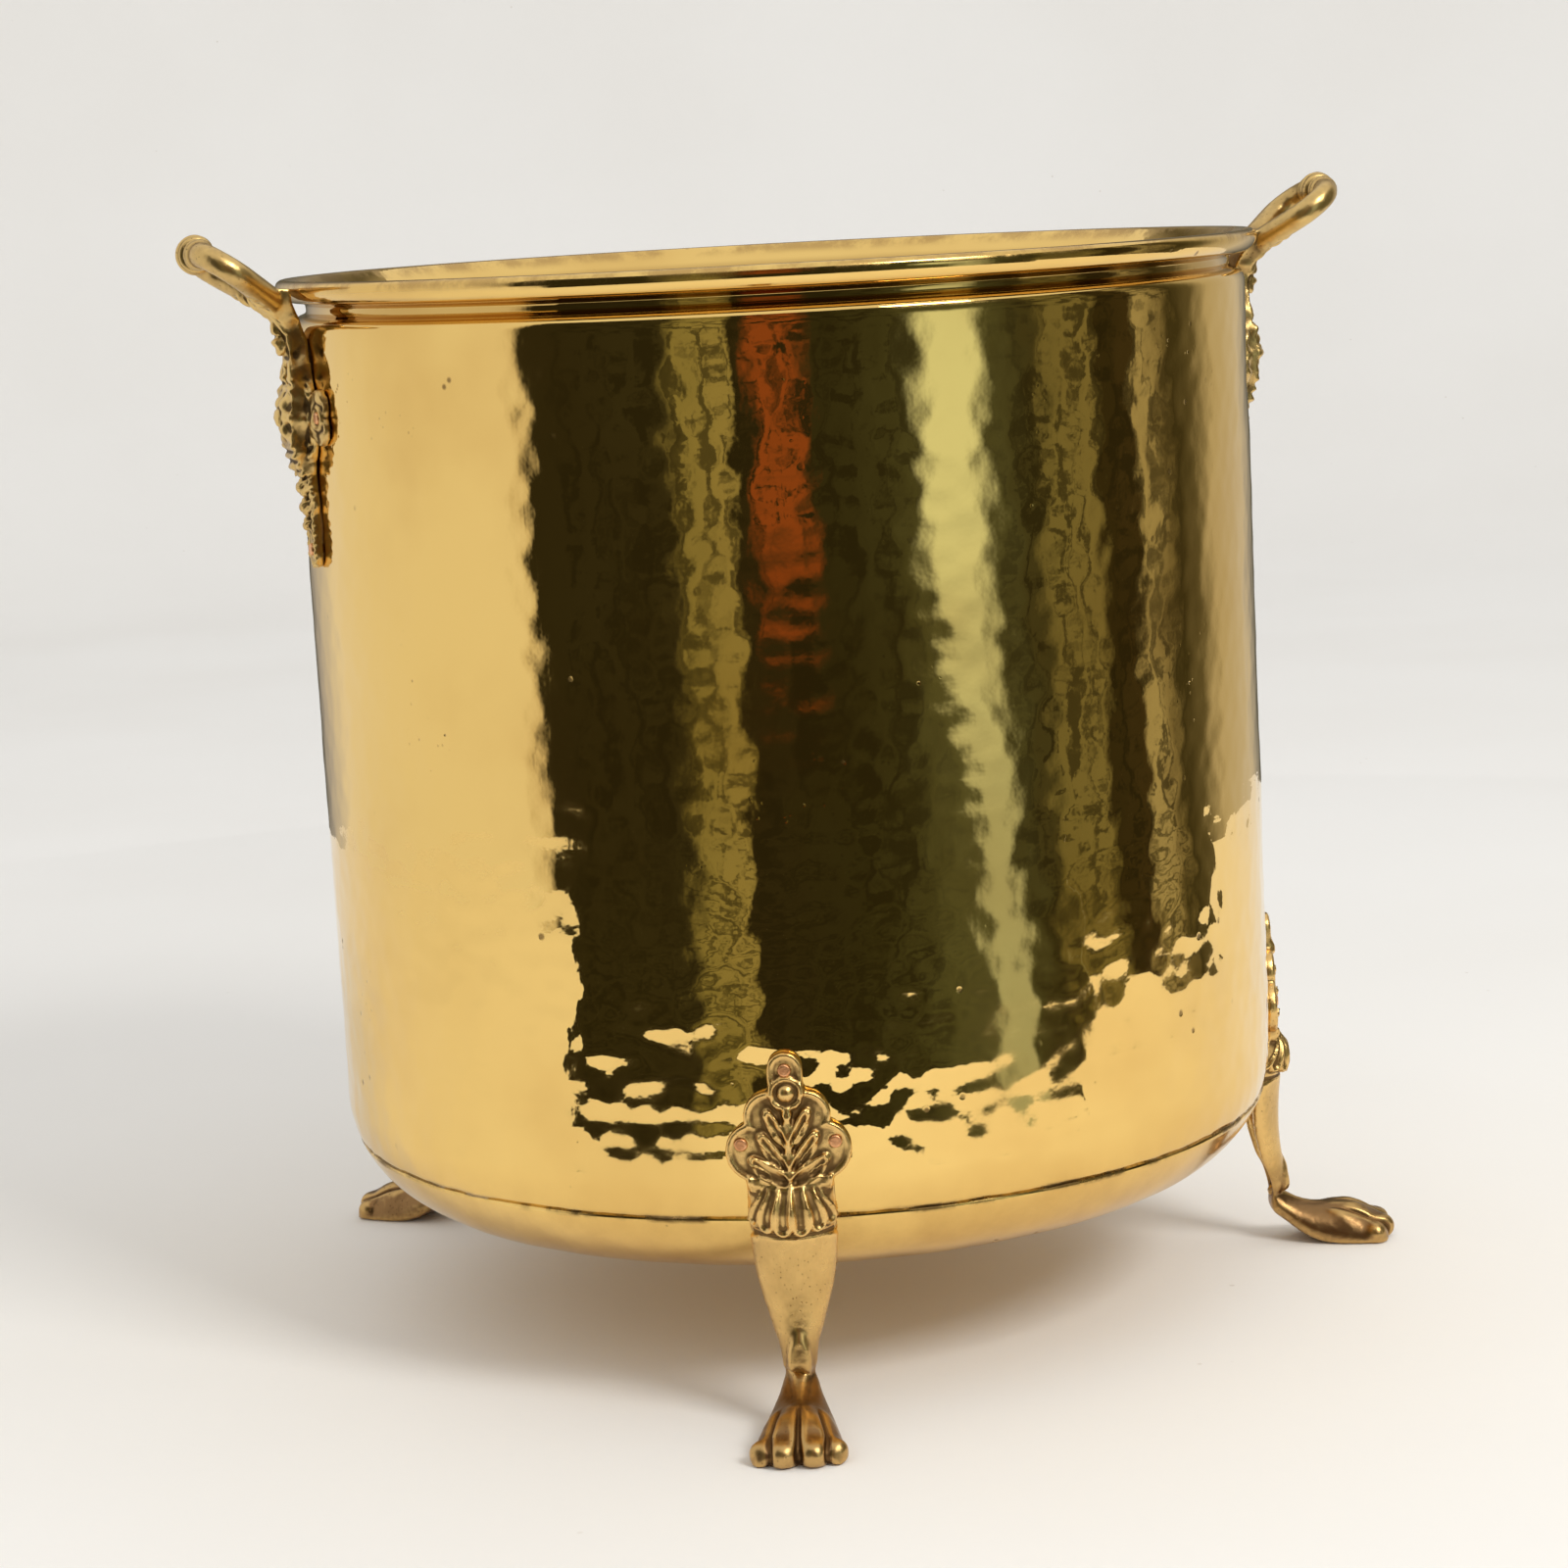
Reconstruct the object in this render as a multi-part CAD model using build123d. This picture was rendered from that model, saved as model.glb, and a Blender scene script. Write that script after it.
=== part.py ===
from build123d import *
import math
import os

# Footed brass planter pot: a hammered sheet bowl on three cast paw feet, with
# two cast carrying handles, all held on by copper rivets.
# Millimetres, +Z up, the floor is z = 0. While the pieces are made, the axis
# of the bowl is the Z axis. Bearings are degrees from the -Y side towards +X.

# ---- bowl -----------------------------------------------------------------
bowl_radius = 155.0          # outside of the wall
rim_height = 345.0           # floor to the top of the rim
base_clearance = 40.0        # floor to the underside of the bowl
corner_radius = 36.5         # outside radius between wall and base
sheet = 1.6                  # brass sheet
seam_turn = 22.0             # degrees into the corner where the base sheet starts
lap_turn = 5.0               # degrees of double sheet under the seam
lap_rise = 6.0               # straight part of the lap inside the wall
lap_gap = 0.05               # solder gap of the lap

# ---- rim ------------------------------------------------------------------
neck_inset = 5.0             # neck inside the wall's outside face
neck_top = 7.8               # depths below the rim's top
neck_low = 11.2
shoulder_low = 17.5
lip_reach = 4.4              # lip outside the wall's outside face
lip_depth = 2.8              # depth of the lip's widest point
wire_radius = 1.5
wire_gap = 0.05
wire_out = 0.9               # wire's centre outside the wall's outside face
wire_drop = 3.7
shoulder_bulge = (1.4, 4.2)  # inset and rise of the shoulder's middle, from where it starts
shoulder_end = (0.6, 0.3)    # outside and below the foot of the neck
neck_ease = 0.3
lip_under = (0.9, 7.3)       # (outside the wall's face, depth) points round the lip
lip_belly = (3.3, 5.0)
lip_edge = (3.9, 1.0)
lip_crest = (2.2, 0.0)
lip_roll = (0.6, 0.3)
lip_inside = (-0.6, 1.4)
throat_drop = 0.8            # inside of the neck, below the outside
throat_low = 0.6
inner_bulge = (1.3, 3.0)     # inset and rise of the shoulder's inside

# ---- rivets ---------------------------------------------------------------
rivet_shank = 1.3            # radii
rivet_head = 1.95
rivet_head_height = 0.9
rivet_tail = 2.1
rivet_tail_height = 0.8
rivet_round = 0.7            # share of the head's height that is rounded
rivet_chamfer = 0.3          # share of the tail's height that is chamfered
rivet_tail_gap = 0.03        # between the tail and the inside of the wall
rivet_seat_room = 0.3        # flat round a rivet head
rivet_reach = 40.0           # length of the bars that clear shanks
seat_depth = 10.0            # length of the cutters that flatten rivet seats
seat_gap = 0.05              # between a casting and the bowl
seat_bite = 2.0              # castings are drawn this far into the bowl, then cut back to the gap

# ---- legs -----------------------------------------------------------------
leg_bearings = {"front": -17.2, "right": 78.5, "rear": -138.0}
plate_thick = 2.8
tab_half = 5.3
tab_rise = 38.3              # heights above the start of the bowl's corner
leg_rivet_top_rise = 33.0
boss_rise = 26.0
upper_lobe_rise = 19.0
upper_lobe_radius = 7.6
upper_lobe_out = 5.4
side_lobe_rise = 8.3
side_lobe_radius = 9.0
side_lobe_out = 9.8
leg_rivet_side_rise = 10.8
leg_rivet_side_out = 13.8
boss_radius = 3.0
collar_half = 13.0
collar_top_drop = 2.0        # below the start of the corner
collar_low_drop = 16.8
collar_proud = 0.9
shank_depth = 9.4            # radial size at the collar
shank_wall = 2.4
shank_overlap = 1.6          # shank runs up into the collar; its hollow stops short of it
ankle_height = 18.0
ankle_half = 5.7
ankle_out = 7.5              # front of the ankle outside the wall's face
paw_half = 14.7
paw_reach = 43.0             # toe tips outside the wall's face
paw_height = 13.2
sole_cut = 0.8               # how far the paw is filed flat
toe_radius = 4.6
outer_toe_radius = 4.0
boss_sink = 0.6              # boss centre below the plate's face
boss_seat_out = 2.0          # seat round the boss: how much wider, and how proud
boss_seat_proud = 0.8
trim_proud = 3.0             # most that any relief stands above the plate
# each leaf pair: rise of its root, sideways place of its tip, rise of its tip
leaf_rows = ((-1.0, 11.2, 6.2), (2.6, 8.2, 13.4), (10.4, 6.0, 20.4))
leaf_size = (2.4, 3.0)       # depth and width of a leaf
leaf_lift = 0.1
vein_size = (2.6, 2.4, 22.0)  # depth, width and length of the stem between the leaves
vein_rise = 10.0
vein_lift = 0.2
collar_seat = 0.6            # collar's sides start this far outside the bowl
collar_top_seat = 0.45
collar_top_depth = 4.6
collar_mid_rise = 7.0        # above the collar's low edge
collar_mid_depth = 0.98      # share of the shank's depth
collar_mid_extra = 0.2
skirt_drop = 3.0             # plate runs down behind the collar
bridge_inset = 0.5
bridge_drop = 2.0
bridge_rise = 0.5
bridge_proud = 1.0
# down the shank: share of the way down, half width, share of the shank's depth
shank_rows = ((0.0, 12.4, 1.0), (0.3, 10.9, 1.12), (0.6, 8.6, 0.95), (0.82, 6.4, 0.8), (1.0, 5.7, 0.76))
shank_bow = 2.2              # how far the shank's front is hollowed
ankle_nominal = 5.7          # ankle half width that the rows are drawn for
heel_in = 7.0                # heel behind the front of the ankle
heel_drop = 7.5              # heel's underside below the ankle
heel_tall = 9.0
heel_slim = 0.4
# arch of the paw: distance beyond the heel, underside, height, extra half width
arch_rows = ((6.0, 6.5, 9.2, 1.9), (14.0, 1.2, 11.8, 5.0))
# ball of the paw: distance behind the toe tips, lower than the paw's top, slimmer than the paw
ball_rows = ((14.0, 1.0, 0.8), (7.0, 3.6, 0.0), (3.4, 6.8, 1.6))
toe_out = 4.5
toe_sink = 0.9
outer_toe_out = 11.0
outer_toe_back = 4.2
outer_toe_sink = 0.7
leg_space = (160.0, 80.0)    # room round a leg, along and across
bar_length = 60.0            # cutters through a plate

# ---- handles --------------------------------------------------------------
handle_bearing = 84.5        # each side of -Y
bar_radius = 3.9
loop_half = 25.0             # half the width across the bar's centre line
loop_root_half = 6.0
loop_length = 26.0
loop_slope = 35.0            # degrees above level
loop_corner = 9.0
loop_root_out = 11.0         # root of the loop outside the wall's face
loop_root_drop = 5.0         # below the rim's top
knuckle_radius = 6.0
knuckle_ring_radius = 4.9
handle_plate = 2.4
handle_low = 90.0            # depths below the rim's top
flower_drop = 42.0
flower_radius = 8.6
flower_depth = 8.0
petal_out = 15.8
petal_radius = 5.4
handle_rivet_side_out = 16.4
handle_rivet_low_drop = 84.0
tail_half = 4.4
knuckle_ring_out = 6.4
knuckle_ring_long = 2.2
# stem from the side: distance out from its seat, depth below the rim's top
stem_back = ((5.4, 2.0), (4.8, 6.4), (2.4, 11.5), (0.0, 18.0))
stem_low = 60.0
stem_front = (
    (4.6, 60.0), (7.4, 52.0), (8.2, 42.0), (7.2, 33.0),
    (6.2, 24.0), (6.6, 17.0), (9.4, 11.6), (14.0, 7.4),
)
stem_crown = (12.0, 1.4)
# stem from the front: half width, depth below the rim's top
stem_halves = (
    (9.0, 0.5), (7.4, 9.0), (4.6, 16.0), (5.4, 24.0),
    (7.6, 32.0), (8.0, 42.0), (6.4, 52.0), (4.4, 61.0),
)
slab_reach = 40.0
petal_lift = 3.4
petal_band = 6.4
bloom_radius = 9.6           # round backing above and below the flower
bloom_low = 6.0
bloom_high = 5.0
tail_knob_drop = 69.0
tail_knob_extra = 1.2
flower_room = 3.0
tail_bosses = ((57.0, 4.0), (64.0, 3.4), (70.5, 3.0), (76.0, 2.4))  # (depth, radius)
stem_boss_drops = (13.5, 19.0)
stem_boss_radius = 3.4
stem_boss_out = 6.6
window_size = (3.6, 6.4)     # open middle of the stem, across and up
window_drop = 28.5

measure_step = 0.05          # how finely the outline is measured for the origin

os.makedirs("parts", exist_ok=True)

corner_start = base_clearance + corner_radius
corner_centre_r = bowl_radius - corner_radius
neck_r = bowl_radius - neck_inset


def fuse(pieces):
    """Join several solids into one."""
    whole = pieces[0]
    for piece in pieces[1:]:
        whole = whole + piece
    return whole


def bearing(piece, degrees):
    """Turn a piece made along +X to its bearing round the bowl."""
    return Rot(0, 0, degrees - 90) * piece


def ring_face(points):
    """A closed face in the XZ plane from edges given in order."""
    return make_face(Plane.XZ * points)


def polar(radius, degrees):
    """A point on the corner's arc; 0 is level with its centre, 90 is under it."""
    turn = math.radians(degrees)
    return (corner_centre_r + radius * math.cos(turn), corner_start - radius * math.sin(turn))


def arc_band(outer, inner, start, end):
    """Part of a ring round the corner's centre, as a face in the XZ plane."""
    middle = (start + end) / 2
    edges = Curve() + [
        ThreePointArc(polar(outer, start), polar(outer, middle), polar(outer, end)),
        Line(polar(outer, end), polar(inner, end)),
        ThreePointArc(polar(inner, end), polar(inner, middle), polar(inner, start)),
        Line(polar(inner, start), polar(outer, start)),
    ]
    return ring_face(edges)


def block(r_low, r_high, z_low, z_high):
    """A rectangle in the XZ plane."""
    edges = Curve() + [
        Polyline((r_low, z_low), (r_high, z_low), (r_high, z_high), (r_low, z_high), close=True)
    ]
    return ring_face(edges)


def turned(faces):
    """Spin faces of the XZ plane round the bowl's axis and join them."""
    return fuse([revolve(face, Axis.Z, 360) for face in faces])


# ---- bowl pieces ----------------------------------------------------------
wire_centre = (bowl_radius + wire_out, rim_height - wire_drop)


def lip_point(spot):
    """A point of the lip, given as outside the wall's face and below the rim's top."""
    return (bowl_radius + spot[0], rim_height - spot[1])


def make_wall():
    """Wall, shoulder, neck and rolled lip, down to the seam in the corner."""
    top = rim_height
    inside = bowl_radius - sheet
    shoulder = top - shoulder_low
    throat = neck_r - sheet
    neck_foot = (neck_r + shoulder_end[0], top - neck_low - shoulder_end[1])
    throat_foot = (throat, top - neck_low - throat_low)
    widest = lip_point((lip_reach, lip_depth))
    edges = Curve() + [
        Line((bowl_radius, corner_start), (bowl_radius, shoulder)),
        ThreePointArc(
            (bowl_radius, shoulder),
            (bowl_radius - shoulder_bulge[0], shoulder + shoulder_bulge[1]),
            neck_foot,
        ),
        Polyline(neck_foot, (neck_r, top - neck_low + neck_ease), (neck_r, top - neck_top), lip_point(lip_under)),
        ThreePointArc(lip_point(lip_under), lip_point(lip_belly), widest),
        ThreePointArc(widest, lip_point(lip_edge), lip_point(lip_crest)),
        ThreePointArc(lip_point(lip_crest), lip_point(lip_roll), lip_point(lip_inside)),
        Polyline(lip_point(lip_inside), (throat, top - neck_top - throat_drop), throat_foot),
        ThreePointArc(throat_foot, (inside - inner_bulge[0], shoulder + inner_bulge[1]), (inside, shoulder)),
        Line((inside, shoulder), (inside, corner_start)),
        Line((inside, corner_start), (bowl_radius, corner_start)),
    ]
    wall = turned([ring_face(edges), arc_band(corner_radius, corner_radius - sheet, 0, seam_turn)])
    groove = Pos(0, 0, wire_centre[1]) * Torus(wire_centre[0], wire_radius + wire_gap)
    return wall - groove


def make_rim_wire():
    """Iron wire that the lip is rolled round."""
    return Pos(0, 0, wire_centre[1]) * Torus(wire_centre[0], wire_radius)


def make_base():
    """Dished base sheet; its edge laps up inside the wall behind the seam."""
    lap_outer = corner_radius - sheet - lap_gap
    lap_inner = lap_outer - sheet
    lap_r = corner_centre_r + lap_outer
    faces = [
        arc_band(corner_radius, corner_radius - sheet, seam_turn, 90),
        arc_band(corner_radius - sheet, lap_inner, seam_turn, seam_turn + lap_turn),
        arc_band(lap_outer, lap_inner, 0, seam_turn),
        block(lap_r - sheet, lap_r, corner_start, corner_start + lap_rise),
    ]
    floor_sheet = Pos(0, 0, base_clearance + sheet / 2) * Cylinder(corner_centre_r, sheet)
    return turned(faces) + floor_sheet


def wall_face(height):
    """Radius of the bowl's outside face at a height."""
    drop = max(0.0, corner_start - height)
    return corner_centre_r + math.sqrt(max(0.0, corner_radius**2 - drop**2))


def shell(thick):
    """A tube of metal lying on the wall's outside face."""
    inner = bowl_radius + seat_gap
    tall = rim_height
    return Pos(0, 0, tall / 2) * (Cylinder(inner + thick, tall) - Cylinder(inner, tall))


def disc_along_x(radius, out, height):
    """A long round bar along X, at a sideways place and height."""
    bar = Cylinder(radius, bar_length, rotation=(0, 90, 0))
    return Pos(bowl_radius, out, height) * bar


def slab_along_x(half, low, high):
    """A long square bar along X, centred sideways."""
    return Pos(bowl_radius, 0, (low + high) / 2) * Box(bar_length, 2 * half, high - low)


# ---- rivets ---------------------------------------------------------------
def rivet_place(out, height):
    """Location with +Z pointing out of the wall, at a sideways arc length."""
    turn = math.degrees(out / bowl_radius)
    return Rot(0, 0, turn) * Pos(0, 0, height) * Rot(0, 90, 0)


def rivet_seat(out, height, face):
    """Cutter that leaves a flat for a rivet head on a casting's face."""
    cutter = Pos(0, 0, face + seat_depth / 2) * Cylinder(rivet_head + rivet_seat_room, seat_depth)
    return rivet_place(out, height) * cutter


def rivet_hole(out, height):
    """Bar that clears a rivet's shank."""
    return rivet_place(out, height) * Pos(0, 0, bowl_radius) * Cylinder(rivet_shank, rivet_reach)


def make_rivet(out, height, thick):
    """Copper rivet: rounded head outside, shank, and a flat peened tail inside."""
    head_base = bowl_radius + seat_gap + thick
    tail_top = bowl_radius - sheet - rivet_tail_gap
    head = Pos(0, 0, head_base + rivet_head_height / 2) * Cylinder(rivet_head, rivet_head_height)
    head_rim = head.edges().filter_by(GeomType.CIRCLE).sort_by(Axis.Z)[-1]
    head = fillet(head_rim, rivet_head_height * rivet_round)
    tail = Pos(0, 0, tail_top - rivet_tail_height / 2) * Cylinder(rivet_tail, rivet_tail_height)
    tail_rim = tail.edges().filter_by(GeomType.CIRCLE).sort_by(Axis.Z)[0]
    tail = chamfer(tail_rim, rivet_tail_height * rivet_chamfer)
    shank = Pos(0, 0, (head_base + tail_top) / 2) * Cylinder(rivet_shank, head_base - tail_top)
    return rivet_place(out, height) * fuse([shank, head, tail])


# ---- legs -----------------------------------------------------------------
leg_rivet_spots = {
    "top": (0.0, corner_start + leg_rivet_top_rise),
    "left": (-leg_rivet_side_out, corner_start + leg_rivet_side_rise),
    "right": (leg_rivet_side_out, corner_start + leg_rivet_side_rise),
}


def level_section(height, seat, depth, half):
    """D-shaped section lying level: flat back, rounded front."""
    edges = Curve() + [
        Line((seat, -half, height), (seat, half, height)),
        ThreePointArc((seat, half, height), (seat + depth, 0, height), (seat, -half, height)),
    ]
    return make_face(edges)


def hugging_section(height, clear, depth, half):
    """The same section carried back into the bowl, to be cut to the bowl's shape afterwards."""
    seat = wall_face(height) + clear
    back = seat - clear - seat_bite
    edges = Curve() + [
        Polyline((seat, -half, height), (back, -half, height), (back, half, height), (seat, half, height)),
        ThreePointArc((seat, half, height), (seat + depth, 0, height), (seat, -half, height)),
    ]
    return make_face(edges)


def upright_section(reach, low, tall, half):
    """D-shaped section standing across the paw: flat sole, rounded top."""
    edges = Curve() + [
        Line((reach, -half, low), (reach, half, low)),
        ThreePointArc((reach, half, low), (reach, 0, low + tall), (reach, -half, low)),
    ]
    return make_face(edges)


def shank_sections(wall, lift):
    """Sections from the collar to the ankle, drawn in by a wall thickness."""
    high = corner_start - collar_low_drop
    front_high = wall_face(high) + collar_seat + shank_depth
    front_low = bowl_radius + ankle_out
    sections = []
    for share, half, depth in shank_rows:
        height = high + lift + (ankle_height - high - lift) * share
        front = front_high + (front_low - front_high) * share - shank_bow * math.sin(math.pi * share)
        width = half * (ankle_half / ankle_nominal) ** share
        thick = shank_depth * depth
        sections.append(level_section(height, front - thick, thick - wall, width - wall))
    return sections


def leg_plate():
    """The riveted plate: a tab over four round lobes."""
    outline = fuse([
        slab_along_x(tab_half, corner_start, corner_start + tab_rise - tab_half),
        disc_along_x(tab_half, 0, corner_start + tab_rise - tab_half),
        disc_along_x(upper_lobe_radius, upper_lobe_out, corner_start + upper_lobe_rise),
        disc_along_x(upper_lobe_radius, -upper_lobe_out, corner_start + upper_lobe_rise),
        disc_along_x(side_lobe_radius, side_lobe_out, corner_start + side_lobe_rise),
        disc_along_x(side_lobe_radius, -side_lobe_out, corner_start + side_lobe_rise),
        slab_along_x(collar_half, corner_start - skirt_drop, corner_start + side_lobe_rise),
    ])
    return outline & shell(plate_thick)


def leg_trim(face):
    """Boss, leaves and their stem, standing on the plate."""
    boss = Pos(face - boss_sink, 0, corner_start + boss_rise) * Sphere(boss_radius)
    seat = disc_along_x(boss_radius + boss_seat_out, 0, corner_start + boss_rise)
    trim = [boss & shell(plate_thick + trim_proud), seat & shell(plate_thick + boss_seat_proud)]
    for rise, tip_out, tip_rise in leaf_rows:
        for side in (-1, 1):
            run = math.hypot(tip_out, tip_rise - rise)
            lean = math.degrees(math.atan2(tip_out, tip_rise - rise)) * side
            leaf = Pos(face + leaf_lift, side * tip_out / 2, corner_start + (rise + tip_rise) / 2)
            trim.append(leaf * Rot(-lean, 0, 0) * Box(leaf_size[0], leaf_size[1], run))
    trim.append(Pos(face + vein_lift, 0, corner_start + vein_rise) * Box(*vein_size))
    return trim


def leg_collar():
    """The fluted collar, shaped to the bowl's corner behind."""
    high = corner_start - collar_low_drop
    top = hugging_section(corner_start - collar_top_drop, collar_top_seat, collar_top_depth, collar_half)
    middle_half = collar_half + collar_mid_extra
    middle = hugging_section(high + collar_mid_rise, collar_seat, shank_depth * collar_mid_depth, middle_half)
    low = hugging_section(high, collar_seat, shank_depth + collar_proud, collar_half)
    return loft([top, middle, low])


def leg_paw():
    """The paw and its toes."""
    toe = bowl_radius + paw_reach
    heel = bowl_radius + ankle_out - heel_in
    rows = [(heel, ankle_height - heel_drop, heel_tall, ankle_half - heel_slim)]
    for beyond, under, tall, extra in arch_rows:
        rows.append((heel + beyond, under, tall, ankle_half + extra))
    for behind, lower, slimmer in ball_rows:
        rows.append((toe - behind, -sole_cut, paw_height + sole_cut - lower, paw_half - slimmer))
    pieces = [loft([upright_section(*row) for row in rows])]
    outer_reach = toe - outer_toe_radius - outer_toe_back
    for side in (-1, 1):
        inner_toe = Pos(toe - toe_radius, side * toe_out, toe_radius - toe_sink)
        outer_toe = Pos(outer_reach, side * outer_toe_out, outer_toe_radius - outer_toe_sink)
        pieces.append(inner_toe * Sphere(toe_radius))
        pieces.append(outer_toe * Sphere(outer_toe_radius))
    return pieces


def make_leg():
    """One cast leg along +X: riveted plate, fluted collar, hollow shank and paw."""
    face = bowl_radius + seat_gap + plate_thick
    bridge_low = corner_start - collar_top_drop - bridge_drop
    bridge = slab_along_x(collar_half - bridge_inset, bridge_low, corner_start + bridge_rise)
    bridge = bridge & shell(plate_thick + bridge_proud)
    shank = loft(shank_sections(0.0, shank_overlap))
    channel = loft(shank_sections(shank_wall, -shank_overlap))
    above_floor = Pos(bowl_radius, 0, rim_height / 2) * Box(leg_space[0], leg_space[1], rim_height)
    leg = fuse([leg_plate(), bridge, leg_collar(), shank] + leg_paw() + leg_trim(face))
    leg = leg & above_floor
    leg = leg - channel
    leg = leg - keep_clear()
    for out, height in leg_rivet_spots.values():
        leg = leg - rivet_hole(out, height)
    for out, height in leg_rivet_spots.values():
        leg = leg - rivet_seat(out, height, face)
    return leg


def keep_clear():
    """The bowl's outside shape, grown by the seat gap."""
    grown = corner_radius + seat_gap
    lowest = base_clearance - seat_gap
    drum = Pos(0, 0, (lowest + rim_height) / 2) * Cylinder(bowl_radius + seat_gap, rim_height - lowest)
    return fillet(drum.edges().filter_by(GeomType.CIRCLE).sort_by(Axis.Z)[0], grown)


# ---- handles --------------------------------------------------------------
handle_rivet_spots = {
    "left": (-handle_rivet_side_out, rim_height - flower_drop),
    "right": (handle_rivet_side_out, rim_height - flower_drop),
    "low": (0.0, rim_height - handle_rivet_low_drop),
}


def make_loop():
    """The round carrying bar, in a plane that slopes up and out from the rim."""
    root = Pos(bowl_radius + loop_root_out, 0, rim_height - loop_root_drop) * Rot(0, -loop_slope, 0)
    path = FilletPolyline(
        (0, -loop_root_half, 0), (loop_length, -loop_half, 0),
        (loop_length, loop_half, 0), (0, loop_root_half, 0),
        radius=loop_corner,
    )
    start = Plane(origin=path @ 0, z_dir=path % 0)
    bar = sweep(start * Circle(bar_radius), path=path)
    knuckle = Pos(loop_length, 0, 0) * Sphere(knuckle_radius)
    rings = []
    for side in (-1, 1):
        ring = Cylinder(knuckle_ring_radius, knuckle_ring_long, rotation=(90, 0, 0))
        rings.append(Pos(loop_length, side * knuckle_ring_out, 0) * ring)
        rings.append(Pos(0, side * loop_root_half, 0) * Sphere(bar_radius))
    return root * fuse([bar, knuckle] + rings)


def handle_stem(face):
    """The stem under the loop, curved from the side and waisted from the front."""
    top = rim_height
    inner = face - seat_bite
    back = [(face + out, top - drop) for out, drop in stem_back]
    front = [(face + out, top - drop) for out, drop in stem_front]
    crown = (face + stem_crown[0], top - stem_crown[1])
    side_outline = Curve() + [
        Polyline(*back, (inner, top - stem_back[-1][1]), (inner, top - stem_low), front[0]),
        Spline(*front),
        Polyline(front[-1], crown, back[0]),
    ]
    right = [(half, top - drop) for half, drop in stem_halves]
    left = [(-half, height) for half, height in reversed(right)]
    front_outline = Curve() + [
        Spline(*right),
        Line(right[-1], left[0]),
        Spline(*left),
        Line(left[-1], right[0]),
    ]
    side_slab = extrude(make_face(Plane.XZ * side_outline), slab_reach, both=True)
    front_slab = extrude(make_face(Plane.YZ * front_outline), slab_reach, both=True)
    return side_slab & (Pos(bowl_radius, 0, 0) * front_slab)


def handle_back():
    """The thin plate behind the flower and tail."""
    flower_height = rim_height - flower_drop
    tail_end = rim_height - handle_low + tail_half
    discs = []
    for side in (-1, 1):
        for lift in (-petal_lift, petal_lift):
            discs.append(disc_along_x(petal_radius, side * petal_out, flower_height + lift))
    outline = fuse(discs + [
        slab_along_x(petal_out, flower_height - petal_band, flower_height + petal_band),
        disc_along_x(bloom_radius, 0, flower_height - bloom_low),
        disc_along_x(bloom_radius, 0, flower_height + bloom_high),
        slab_along_x(tail_half, tail_end, flower_height),
        disc_along_x(tail_half, 0, tail_end),
        disc_along_x(tail_half + tail_knob_extra, 0, rim_height - tail_knob_drop),
    ])
    return outline & shell(handle_plate)


def make_handle():
    """One cast handle along +X: carrying loop, stem, flower and tail plate."""
    top = rim_height
    face = bowl_radius + seat_gap
    flower = Pos(face + handle_plate, 0, top - flower_drop) * Sphere(flower_radius)
    flower = flower & shell(flower_depth + flower_room)
    bosses = []
    for drop, radius in tail_bosses:
        bosses.append(Pos(face + handle_plate, 0, top - drop) * Sphere(radius))
    for drop in stem_boss_drops:
        bosses.append(Pos(face + stem_boss_out, 0, top - drop) * Sphere(stem_boss_radius))
    handle = fuse([make_loop(), handle_stem(face), handle_back(), flower] + bosses)
    handle = handle - keep_clear()
    window = Pos(bowl_radius, 0, top - window_drop) * Box(bar_length, *window_size)
    handle = handle - window
    for out, height in handle_rivet_spots.values():
        handle = handle - rivet_hole(out, height)
        handle = handle - rivet_seat(out, height, face + handle_plate)
    return handle


# ---- build everything -----------------------------------------------------
nodes = {"rim_wire": make_rim_wire(), "pot_base": make_base()}
wall = make_wall()
leg = make_leg()
handle = make_handle()

for name, degrees in leg_bearings.items():
    nodes["leg_" + name] = bearing(leg, degrees)
    for spot, (out, height) in leg_rivet_spots.items():
        nodes["rivet_leg_" + name + "_" + spot] = bearing(make_rivet(out, height, plate_thick), degrees)
        wall = wall - bearing(rivet_hole(out, height), degrees)

for name, degrees in (("left", -handle_bearing), ("right", handle_bearing)):
    nodes["handle_" + name] = bearing(handle, degrees)
    for spot, (out, height) in handle_rivet_spots.items():
        nodes["rivet_handle_" + name + "_" + spot] = bearing(make_rivet(out, height, handle_plate), degrees)
        wall = wall - bearing(rivet_hole(out, height), degrees)

nodes["pot_wall"] = wall

# the origin goes under the middle of the whole piece, on the floor
points = [point for piece in nodes.values() for point in piece.tessellate(measure_step)[0]]
x_low, x_high = min(p.X for p in points), max(p.X for p in points)
y_low, y_high = min(p.Y for p in points), max(p.Y for p in points)
z_low, z_high = min(p.Z for p in points), max(p.Z for p in points)
shift = Pos(-(x_low + x_high) / 2, -(y_low + y_high) / 2, 0)

for name, piece in nodes.items():
    solid = shift * piece
    solids = solid.solids()
    if len(solids) > 1:
        print("more than one solid:", name, [round(s.volume, 2) for s in solids])
    export_step(Compound(children=solids) if len(solids) > 1 else solids[0], "parts/" + name + ".step")

print("bowl axis at", [round(v, 3) for v in tuple(shift.position)])
print("size", round(x_high - x_low, 2), round(y_high - y_low, 2), round(z_high - z_low, 2))
print("lowest point", round(z_low, 3))
print("inner floor at", base_clearance + sheet)
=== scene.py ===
# %% [markdown]
# A footed brass planter pot, made from sheet and castings. The engineering model
# gives every piece its place, so this lesson only makes the surfaces: hammered
# sheet, cast relief, copper rivets, and a pale studio round them.

# %% Load the fixed frame
import math

import bpy
import numpy as np
from mathutils import Matrix, Vector, noise


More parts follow.
